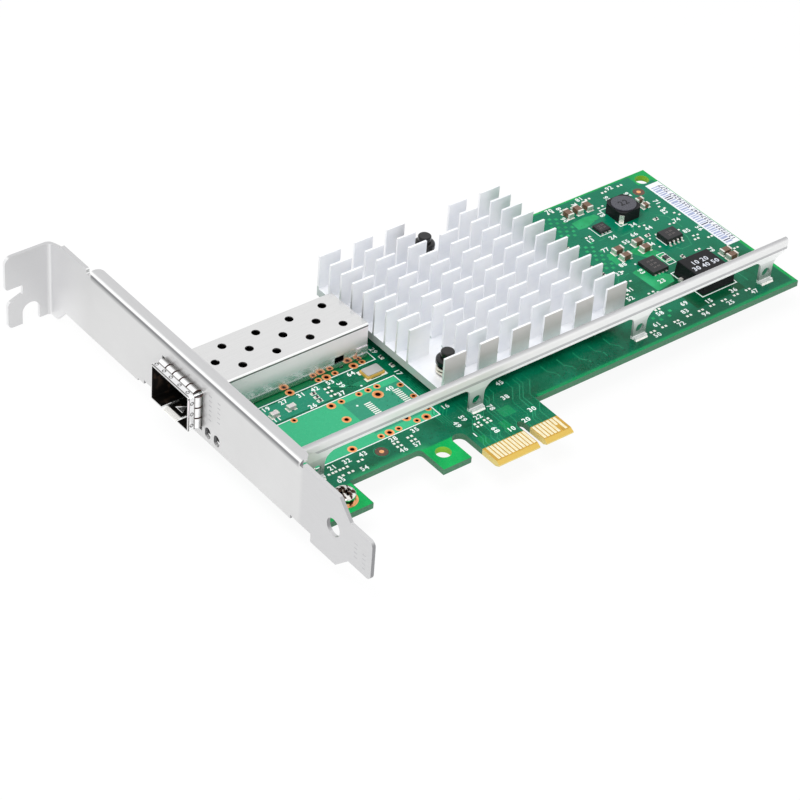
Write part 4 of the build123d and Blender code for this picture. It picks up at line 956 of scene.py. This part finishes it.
# %% Turned shapes
def turned_shape(profiles, sides=28):
    """A bmesh of closed profiles of (radius, height), each turned round its own upright axis."""
    shape = bmesh.new()
    for (x, y), profile in profiles:
        loops = []
        for k in range(sides):
            angle = 2 * pi * k / sides
            points = [Vector((x + r * cos(angle), y + r * sin(angle), z)) * mm for r, z in profile]
            loops.append([shape.verts.new(point) for point in points])
        for k in range(sides):
            wall(shape, loops[k], loops[(k + 1) % sides])
    bmesh.ops.recalc_face_normals(shape, faces=shape.faces)
    return shape


def tube(inner, outer, bottom, top):
    """The closed profile of a round sleeve."""
    return (inner, bottom), (outer, bottom), (outer, top), (inner, top)


# %% Sleeves of the plated holes
board_back = board_low.z
ring_top = box_mm("via_rings")[1].z
widest_via = 2.5
bore_share, sleeve_share = 0.48, 0.7
past_ring, past_back = 0.005, 0.03
sleeves, shade_discs = [], []
for low, high in islands("via_rings"):
    radius = (high.x - low.x) / 2
    if radius < widest_via:
        bore = bore_share * radius
        place = middle(low, high)
        sleeves.append((place, tube(bore, sleeve_share * radius, board_back - past_back,
                                    ring_top + past_ring)))
        shade_discs.append(disc(*place, 1.02 * bore))
sleeve_copper = new_finish("sleeve_copper", seen(226, 138, 84), 0.4, 0.5)
depth = spread(sleeve_copper, place_of(sleeve_copper)[2], 0, 1, -0.12 * mm, 0.01 * mm)
connect(sleeve_copper, mix(sleeve_copper, depth, seen(26, 10, 6), seen(234, 140, 80)), "Base Color")
uneven(sleeve_copper, 0.3, 0.3, 0.5)
finished("hole_sleeves", turned_shape(sleeves), sleeve_copper)
# Dark discs sunk in the holes are painted shade.
hole_shade = printed("hole_shade", seen(24, 10, 8), 0.3, seen(16, 6, 4), seen(34, 16, 10), 0.9)
hole_depth = 0.74
thin_piece("hole_shade_discs", shade_discs, 0.2, hole_shade, level=-hole_depth)

# %% [markdown]
# ## Alignment dots
# Each bare copper dot lies in a round window of the lacquer, where the laminate shows dark
# brown, inside a fine light ring.

# %% Windows round the alignment dots
window_brown = tinted("bare_laminate", seen(86, 60, 46), 0.4, seen(76, 52, 40), seen(104, 76, 60),
                      0.5)
window_places = [middle(low, high) for low, high in islands("fiducial_dots")]
windows = [disc(x, y, 1.5, 40) for x, y in window_places]
thin_piece("dot_windows", windows, 0.018, window_brown)
fine_ring = tube(1.72, 1.84, -sunk, 0.014)
fine_rings = turned_shape([(place, fine_ring) for place in window_places], 40)
finished("dot_rings", fine_rings, track_green)

# %% [markdown]
# ## The white print
# White ink marks the outlines of parts and counts them. Lines are drawn as thin shapes.
# The counting marks are plain numbers only, set with Blender's own letter shapes and
# turned into meshes, a few of them reading up the board as on any real one.

# %% Ink and frame lines
ink = tinted("white_ink", seen(236, 242, 240), 0.4, seen(228, 238, 234), seen(244, 248, 247), 0.5)
ink_thickness = 0.035
line_width = 0.26
fine_width = 0.2
margin = 0.5
corner = 1.6


def frame_line(low_x, low_y, high_x, high_y, width=line_width):
    """The four sides of a printed frame, as separate lines that meet at the corners."""
    half = width / 2
    return [line([(low_x - half, low_y), (high_x + half, low_y)], width),
            line([(low_x - half, high_y), (high_x + half, high_y)], width),
            line([(low_x, low_y + half), (low_x, high_y - half)], width),
            line([(high_x, low_y + half), (high_x, high_y - half)], width)]


lines = frame_line(-56.4, 20.5, -12.85, 37.2)
print("lines round the port's parts:", len(lines))

# %% Printed lines
memory_gap = 0.15
chip_gap = 0.55
crystal_gap = 0.35
lines += frame_line(68.3, 35.0, 70.5, 39.6, fine_width)
lines += [line([(-57.0, 44.2), (-12.7, 44.2), (-12.7, 62.2), (-57.0, 62.2)], line_width)]
module_low, module_high = box_mm("power_module")
lines += frame_line(module_low.x - margin, module_low.y - margin,
                    module_high.x + margin, module_high.y + margin)
coil_low, coil_high = box_mm("power_inductor")
for x, y, right, up in ((coil_low.x, coil_low.y, 1, 1), (coil_high.x, coil_high.y, -1, -1),
                        (coil_low.x, coil_high.y, 1, -1)):
    lines += [line([(x - right * margin, y + up * corner), (x - right * margin, y - up * margin),
                    (x + right * corner, y - up * margin)], line_width)]
low, high = box_mm("memory_chip")
lines += [line([(low.x - memory_gap, low.y), (low.x - memory_gap, high.y)], 0.24)]
low, high = box_mm("regulator_chip")
lines += [line([(low.x - chip_gap, high.y), (low.x - chip_gap, low.y - chip_gap),
                (high.x, low.y - chip_gap)], fine_width)]
low, high = box_mm("crystal_base")
lines += [line([(low.x, low.y - crystal_gap), (high.x, low.y - crystal_gap)], fine_width)]
first_pins = ((-26.3, 33.0), (62.0, 56.9), (61.6, 39.6), (-21.2, 38.2), (71.6, 45.6))
lines += [disc(x, y, 0.28, 16) for x, y in first_pins]
thin_piece("printed_lines", lines, ink_thickness, ink)

# %% Number helper
def numbers_piece(name, marks, size, thickness, finish, plane=None, level=0.0):
    """Plain numbers as one piece. Each mark is (number, x, y, quarter turns)."""
    shape = bmesh.new()
    for number, x, y, turns in marks:
        text = bpy.data.curves.new(name, "FONT")
        text.body = str(number)
        text.size = size * mm
        text.align_x = "CENTER"
        text.align_y = "CENTER"
        text.resolution_u = 2
        text.offset = 0.022 * size * mm
        text.space_character = 1.12
        text.extrude = thickness * mm / 2
        letters = bpy.data.objects.new(name, text)
        mesh = bpy.data.meshes.new_from_object(letters)
        turn = Euler((0, 0, turns * pi / 2)).to_matrix().to_4x4()
        turn.translation = Vector((x, y, level - sunk + thickness / 2)) * mm
        mesh.transform(turn)
        shape.from_mesh(mesh)
        bpy.data.meshes.remove(mesh)
        bpy.data.objects.remove(letters)
        bpy.data.curves.remove(text)
    bmesh.ops.remove_doubles(shape, verts=shape.verts, dist=1e-8)
    return finished(name, shape, finish, plane)


# %% Printed numbers
number_size = 1.9
along_board = (
    (19, -43.9, 43.0), (27, -39.2, 43.0), (31, -34.4, 42.9), (42, -30.6, 42.9), (53, -26.3, 43.0),
    (64, -20.6, 42.9), (11, -43.9, 38.8), (26, -34.6, 38.3), (37, -26.6, 38.4), (40, -16.6, 33.9),
    (28, -26.8, 19.3), (35, -20.9, 19.2), (46, -27.1, 15.2), (57, -23.4, 15.1), (21, -43.7, 18.9),
    (32, -39.8, 18.9), (43, -35.4, 18.9), (54, -38.0, 14.9), (65, -44.6, 14.5), (16, -10.2, 22.0),
    (22, -6.4, 15.1), (1, -10.9, 10.5), (10, -2.9, 7.7), (20, 1.9, 8.4), (30, 5.4, 10.6),
    (38, 3.1, 17.2), (45, 5.3, 21.9), (50, 47.4, 15.7), (61, 49.9, 18.8), (72, 54.9, 15.8),
    (83, 58.9, 19.0), (94, 62.4, 15.6), (15, 66.4, 18.9), (25, 70.4, 15.7), (36, 74.2, 18.9),
    (47, 78.2, 15.8), (58, 53.4, 21.6), (69, 60.8, 21.4), (70, 58.4, 67.7), (81, 68.0, 67.6),
    (92, 77.4, 67.3), (13, 58.9, 52.8), (24, 64.4, 50.9), (34, 72.0, 52.2), (44, 74.3, 49.1),
    (55, 65.8, 47.7), (66, 69.5, 49.0), (77, 59.4, 47.9), (88, 58.9, 41.0), (14, 70.2, 43.6),
    (23, 62.4, 31.0), (33, 55.8, 38.8), (41, 53.6, 32.5), (52, 51.4, 29.8), (63, 58.2, 27.7),
    (74, 82.4, 48.0), (85, 81.4, 43.2), (96, 86.6, 25.4),
)
across_board = (
    (17, -11.4, 37.6), (29, -11.2, 47.0), (39, -24.9, 41.0), (49, -12.0, 15.6), (59, -9.6, 16.6),
    (68, -6.1, 9.5), (78, -1.9, 16.2), (90, 59.2, 62.9), (18, 68.2, 59.8), (71, 83.4, 56.4),
    (82, 82.2, 52.4), (93, 60.8, 36.6), (79, 81.0, 34.2), (56, 84.7, 42.4), (67, 77.8, 33.2),
    (73, 65.4, 66.2), (84, 61.0, 66.8), (95, 74.0, 64.2), (97, 79.4, 62.8),
)
marks = [(*mark, 0) for mark in along_board] + [(*mark, -1) for mark in across_board]
numbers_piece("printed_numbers", marks, number_size, ink_thickness, ink)

# %% [markdown]
# ## The back of the board
# The back carries what the front has no room for: more tracks, a close grid of filled holes
# below the chip that leads its heat away, and rows of pads for small capacitors. The same
# helpers draw it, on a plane that is turned round the board's length, so that the numbers
# read the right way from behind.

# %% Back: heat holes, pads and tracks
to_back = ((-1, 0, 0, 0), (0, 1, 0, 0), (0, 0, -1, board_back * mm), (0, 0, 0, 1))
chip_x, chip_y = middle(*box_mm("controller_chip"))
heat_holes = [disc(column - 5 - chip_x, row - 5 + chip_y, 0.17, 10)
              for row in range(11) for column in range(11)]


def pad_pair(x, y, apart, width, height):
    """The two pads of an empty place, apart millimetres to each side of x."""
    return [block(x - apart, y, width, height), block(x + apart, y, width, height)]


back_pads, back_tracks = [], []
for row in range(5):
    for column in range(6):
        if row in (0, 4) or column in (0, 5):
            x, y = 3.4 * (column - 2.5) - chip_x, 4.2 * (row - 2) + chip_y
            back_pads += pad_pair(x, y, 0.55, 0.55, 0.6)
for x, y in ((-63.0, 40.0), (-68.5, 44.0), (-74.0, 36.5), (-80.5, 52.0), (-60.5, 57.5),
             (38.0, 66.0), (40.0, 17.0)):
    back_pads += pad_pair(x, y, 0.6, 0.6, 0.7)
for k in range(6):
    x, rise = 11.4 - 2.0 * k, 0.9 * k
    back_tracks.append(line([(x, contact_top), (x, 8.0 + 0.4 * k), (x - 1.6, 10.0 + 0.4 * k),
                             (x - 1.6, 22.0 + rise), (x - 4.0, 25.0 + rise),
                             (x - 4.0, 31.0)], track_width))
for k in range(8):
    y = 24.0 + 1.1 * k
    back_tracks.append(line([(-26.0, y + 14), (-34.0, y + 14), (-40.0 - 0.5 * k, y + 8),
                             (-58.0, y + 8), (-62.0, y + 12)], track_width))
thin_piece("back_heat_holes", heat_holes, 0.022, dark_green, to_back)
thin_piece("back_tracks", back_tracks, 0.02, track_green, to_back)
thin_piece("back_pads", back_pads, 0.035, bare_pad, to_back)

# %% Back: numbers
back_marks = ((12, -63.0, 42.6, 0), (34, -68.5, 46.6, 0), (56, -74.0, 39.1, 0), (78, -80.5, 54.6, 0),
              (90, -60.5, 60.1, 0), (11, 38.0, 63.6, 0), (33, 40.0, 19.6, 0), (55, -29.5, 60.6, 0),
              (77, -2.0, 60.6, 0), (99, -29.5, 30.0, 0), (1, 10.4, 7.3, 0), (18, -5.0, 8.4, 0))
numbers_piece("back_numbers", back_marks, number_size, ink_thickness, ink, to_back)

# %% [markdown]
# ## The strip label
# The label carries rows of plain bars and plain numbers in pale blue ink. The bars follow
# a fixed rhythm of counted widths and mean nothing.

# %% Label bars
label_low, label_high = box_mm("bar_label")
pale_ink = tinted("pale_label_ink", seen(158, 168, 200), 0.5, seen(146, 157, 192),
                  seen(176, 185, 212), 0.5)
dark_ink = tinted("dark_label_ink", seen(46, 52, 82), 0.5, seen(38, 44, 74), seen(64, 71, 100), 0.5)
print_thickness = 0.02
bar_length = 2.1
bar_middle = label_low.x + 0.45 + bar_length / 2
widths = (0.5, 0.36, 0.8, 0.45, 0.36, 0.6, 0.36)
gaps = (0.34, 0.42, 0.3, 0.38)
dark_places = (0.0, 0.26, 0.7, 0.93)
dark_length = 0.045
dark_width = 0.38
first_bar = label_low.y + 0.9
pale_bars, dark_bars = [], []
y, k = first_bar, 0
while y < label_high.y - 1.3:
    share = (y - first_bar) / (label_high.y - label_low.y)
    dark = any(0 < share - place < dark_length for place in dark_places)
    width = dark_width if dark else widths[k % len(widths)]
    (dark_bars if dark else pale_bars).append(block(bar_middle, y + width / 2, bar_length, width))
    y += width + gaps[k % len(gaps)]
    k += 1
thin_piece("label_bars_pale", pale_bars, print_thickness, pale_ink, level=label_high.z)
thin_piece("label_bars_dark", dark_bars, print_thickness, dark_ink, level=label_high.z)

# %% Label numbers
label_numbers = [(12 + 5 * k, label_high.x - 0.74, label_low.y + 2.0 + 1.85 * k + 0.5 * (k // 4), 1)
                 for k in range(14)]
numbers_piece("label_numbers", label_numbers, 1.65, print_thickness, dark_ink,
              level=label_high.z)

# %% [markdown]
# ## Marks on the parts
# The coil, the black module and the chips carry printed or laser marks. Here they are
# plain numbers: white on the module, dark on the coil, and a faint warm grey on the chips,
# as a laser leaves it.

# %% Marks on coil and module
coil_mark = printed("coil_mark", grey(20, 4), 0.2, grey(14, 4), seen(28, 28, 33), 0.7)
numbers_piece("coil_number", [(22, *middle(coil_low, coil_high), 0)], 2.6, print_thickness, coil_mark,
              level=box_mm("inductor_core")[1].z)
module_ink = printed("module_ink", seen(214, 218, 228), 0.3, seen(200, 205, 218),
                     seen(230, 233, 240), 0.5)
module_x = middle(module_low, module_high)[0]
module_marks = [("10 20", module_x - 0.2, module_high.y - 3.2, 0),
                ("30 40 50", module_x, module_high.y - 5.2, 0)]
numbers_piece("module_numbers", module_marks, 2.0, print_thickness, module_ink,
              level=module_high.z)

# %% Marks on the chips
laser_mark = printed("laser_mark", seen(104, 98, 96), 0.2, seen(92, 86, 84),
                     seen(116, 110, 108), 0.6)
made = 0
for name, rows in (("memory_chip", 2), ("power_chip", 3), ("regulator_chip", 2)):
    low, high = box_mm(name)
    pitch = (high.y - low.y) / (rows + 1.4)
    for row in range(rows):
        made += 1
        number = f"{12 + 11 * row} {34 + 5 * row}"
        mark = (number, middle(low, high)[0], high.y - pitch * (row + 1.2), 0)
        numbers_piece(f"chip_number_{made}", [mark], 0.8, 0.018, laser_mark,
                      level=high.z)

# %% [markdown]
# ## Black sleeves in the springs
# Between the turns of the push-pin springs the photo shows plain black. A thin black sleeve
# round each shank gives that, and it hides the gap that a bare shank would leave.

# %% Spring sleeves
spring_low, spring_high = box_mm("pin_springs")
pin_middles = [middle(low, high) for low, high in islands("push_pins")]
pin_places = sorted({(round(x, 2), round(y, 2)) for x, y in pin_middles})
print("pins at", pin_places)
black_tube = tube(1.56, 1.8, spring_low.z + 0.1, spring_high.z - 0.1)
black_tubes = turned_shape([(place, black_tube) for place in pin_places], 40)
finished("pin_sleeves", black_tubes, nylon)

# %% [markdown]
# ## Small bare pads
# Many places for small parts stay empty and show their tinned pads. The frame holds the
# larger ones; these are single test spots and second rows beside the chips.

# %% More bare pads
spare_places = (
    (69.6, 62.2), (71.0, 62.4), (77.6, 60.6), (82.6, 54.6), (83.3, 53.4), (84.0, 50.6), (84.6, 49.4),
    (79.8, 47.6), (81.0, 47.4), (80.0, 44.6), (81.4, 40.8), (82.6, 40.6), (74.4, 33.2), (76.0, 33.4),
    (72.8, 50.9), (74.2, 50.6), (71.4, 41.8), (57.0, 39.0), (54.6, 35.0), (56.1, 35.1), (51.9, 31.4),
    (50.4, 31.2), (56.4, 28.9), (57.8, 29.0), (-47.4, 41.7), (-42.4, 41.6), (86.2, 31.4), (87.2, 31.4),
    (62.6, 65.9), (64.1, 65.9), (57.6, 66.9), (59.0, 66.9),
)
thin_piece("spare_pads", [block(x, y, 0.62, 0.5) for x, y in spare_places], 0.035, bare_pad)

# %% [markdown]
# ## Marks on the bracket
# Sheet brackets are stamped beside their lamps and on the tail. Here short plain strokes
# take that place, slightly darker than the sheet.

# %% Strokes on the bracket
stamp_grey = printed("stamp_grey", grey(186, 2), 0.3, grey(178, 2), grey(198, 2), 0.5, 0.4)
to_face = ((0, 0, -1, bracket_outer * mm), (-1, 0, 0, 0), (0, 1, 0, 0), (0, 0, 0, 1))
strokes = []
for y, top, pitch, count in ((42.6, 10.6, 1.3, 6), (39.4, 10.6, 1.3, 5),
                             (-9.6, 6.6, 1.2, 4), (-12.4, 5.6, 1.2, 4)):
    strokes += [block(-y, top - pitch * k, 1.0, 0.3) for k in range(count)]
thin_piece("bracket_strokes", strokes, 0.02, stamp_grey, to_face)

# %% [markdown]
# ## Slits and weld marks of the spring collar
# Between the fingers the eye looks into slits in shade, and each spot weld leaves a fine
# ring. Both are thin shapes: dark brown strips of painted shade that lie on the cage inside
# the slits, and flat rings round the shallow dimples of the solid collar.

# %% Slits: profile and colour
collar_sheet = 0.2
finger_width = 13.3
finger_height = 8.45
slit_start, slit_end = finger_start + 0.05, finger_end - 0.3
finger_crest = (finger_start + finger_end) / 2
arc_radius = 1.377
arc_centre = -0.627
slit_profile = [(slit_start, 0.0), (slit_end, 0.0)]
for k in range(9):
    x = slit_end - (slit_end - slit_start) * k / 8
    slit_profile.append((x, arc_centre + (arc_radius ** 2 - (x - finger_crest) ** 2) ** 0.5 + 0.015))
slit_shade = printed("slit_shade", seen(40, 16, 10), 0.3, seen(26, 10, 6), seen(54, 24, 16), 0.7,
                     Specular_IOR_Level=0.1)
print("slit profile has", len(slit_profile), "points")


# %% Slits: strips of painted shade
def lying_at(z):
    """The plane of the board, z millimetres higher."""
    return (1, 0, 0, 0), (0, 1, 0, 0), (0, 0, 1, z * mm), (0, 0, 0, 1)


def upright_at(y):
    """An upright plane that faces the contacts, y millimetres above their tips."""
    return (1, 0, 0, 0), (0, 0, -1, y * mm), (0, 1, 0, 0), (0, 0, 0, 1)


def slit_strips(name, places, plane):
    """Strips of painted shade that fill the slits between the fingers, one at each place across the
    side.
    """
    shape = bmesh.new()
    for place in places:
        ends = [[shape.verts.new(Vector((x, place + half, rise)) * mm) for x, rise in slit_profile]
                for half in (-0.19, 0.19)]
        shape.faces.new(ends[0])
        shape.faces.new(ends[1][::-1])
        wall(shape, *ends)
    bmesh.ops.recalc_face_normals(shape, faces=shape.faces)
    finished(name, shape, slit_shade, plane)


cage_middle = (cage_side + cage_far_side) / 2
slit_strips("roof_slit_shade", [cage_middle + finger_width * (k / 5 - 0.5) for k in range(1, 5)],
            lying_at(cage_roof))
slit_strips("side_slit_shade", [cage_roof / 2 + finger_height * (k / 3 - 0.5) for k in range(1, 3)],
            upright_at(cage_side))

# %% Weld marks
weld_grey = printed("weld_grey", seen(66, 64, 64), 0.2, seen(56, 54, 54), seen(84, 82, 82), 0.6)
weld_ring = tube(0.31, 0.49, -0.005, 0.012)
weld_x = collar_front + 0.62
roof_rings = turned_shape([((weld_x, y), weld_ring) for y in (47.6, 50.7, 54.0, 56.6, 59.5)], 20)
finished("roof_weld_rings", roof_rings, weld_grey, lying_at(cage_roof + collar_sheet))
side_rings = turned_shape([((weld_x, z), weld_ring) for z in (1.5, 4.6, 7.5)], 20)
finished("side_weld_rings", side_rings, weld_grey, upright_at(cage_side - collar_sheet))

# %% [markdown]
# ## The end of the lesson
# The size of the visual model is printed here, as the size of the solids was at the start.
# The visual model must not be larger than the solids it dresses.

# %% Sizes and finish
low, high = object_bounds()
print("visual size in mm:", [round(s / mm, 1) for s in high - low])
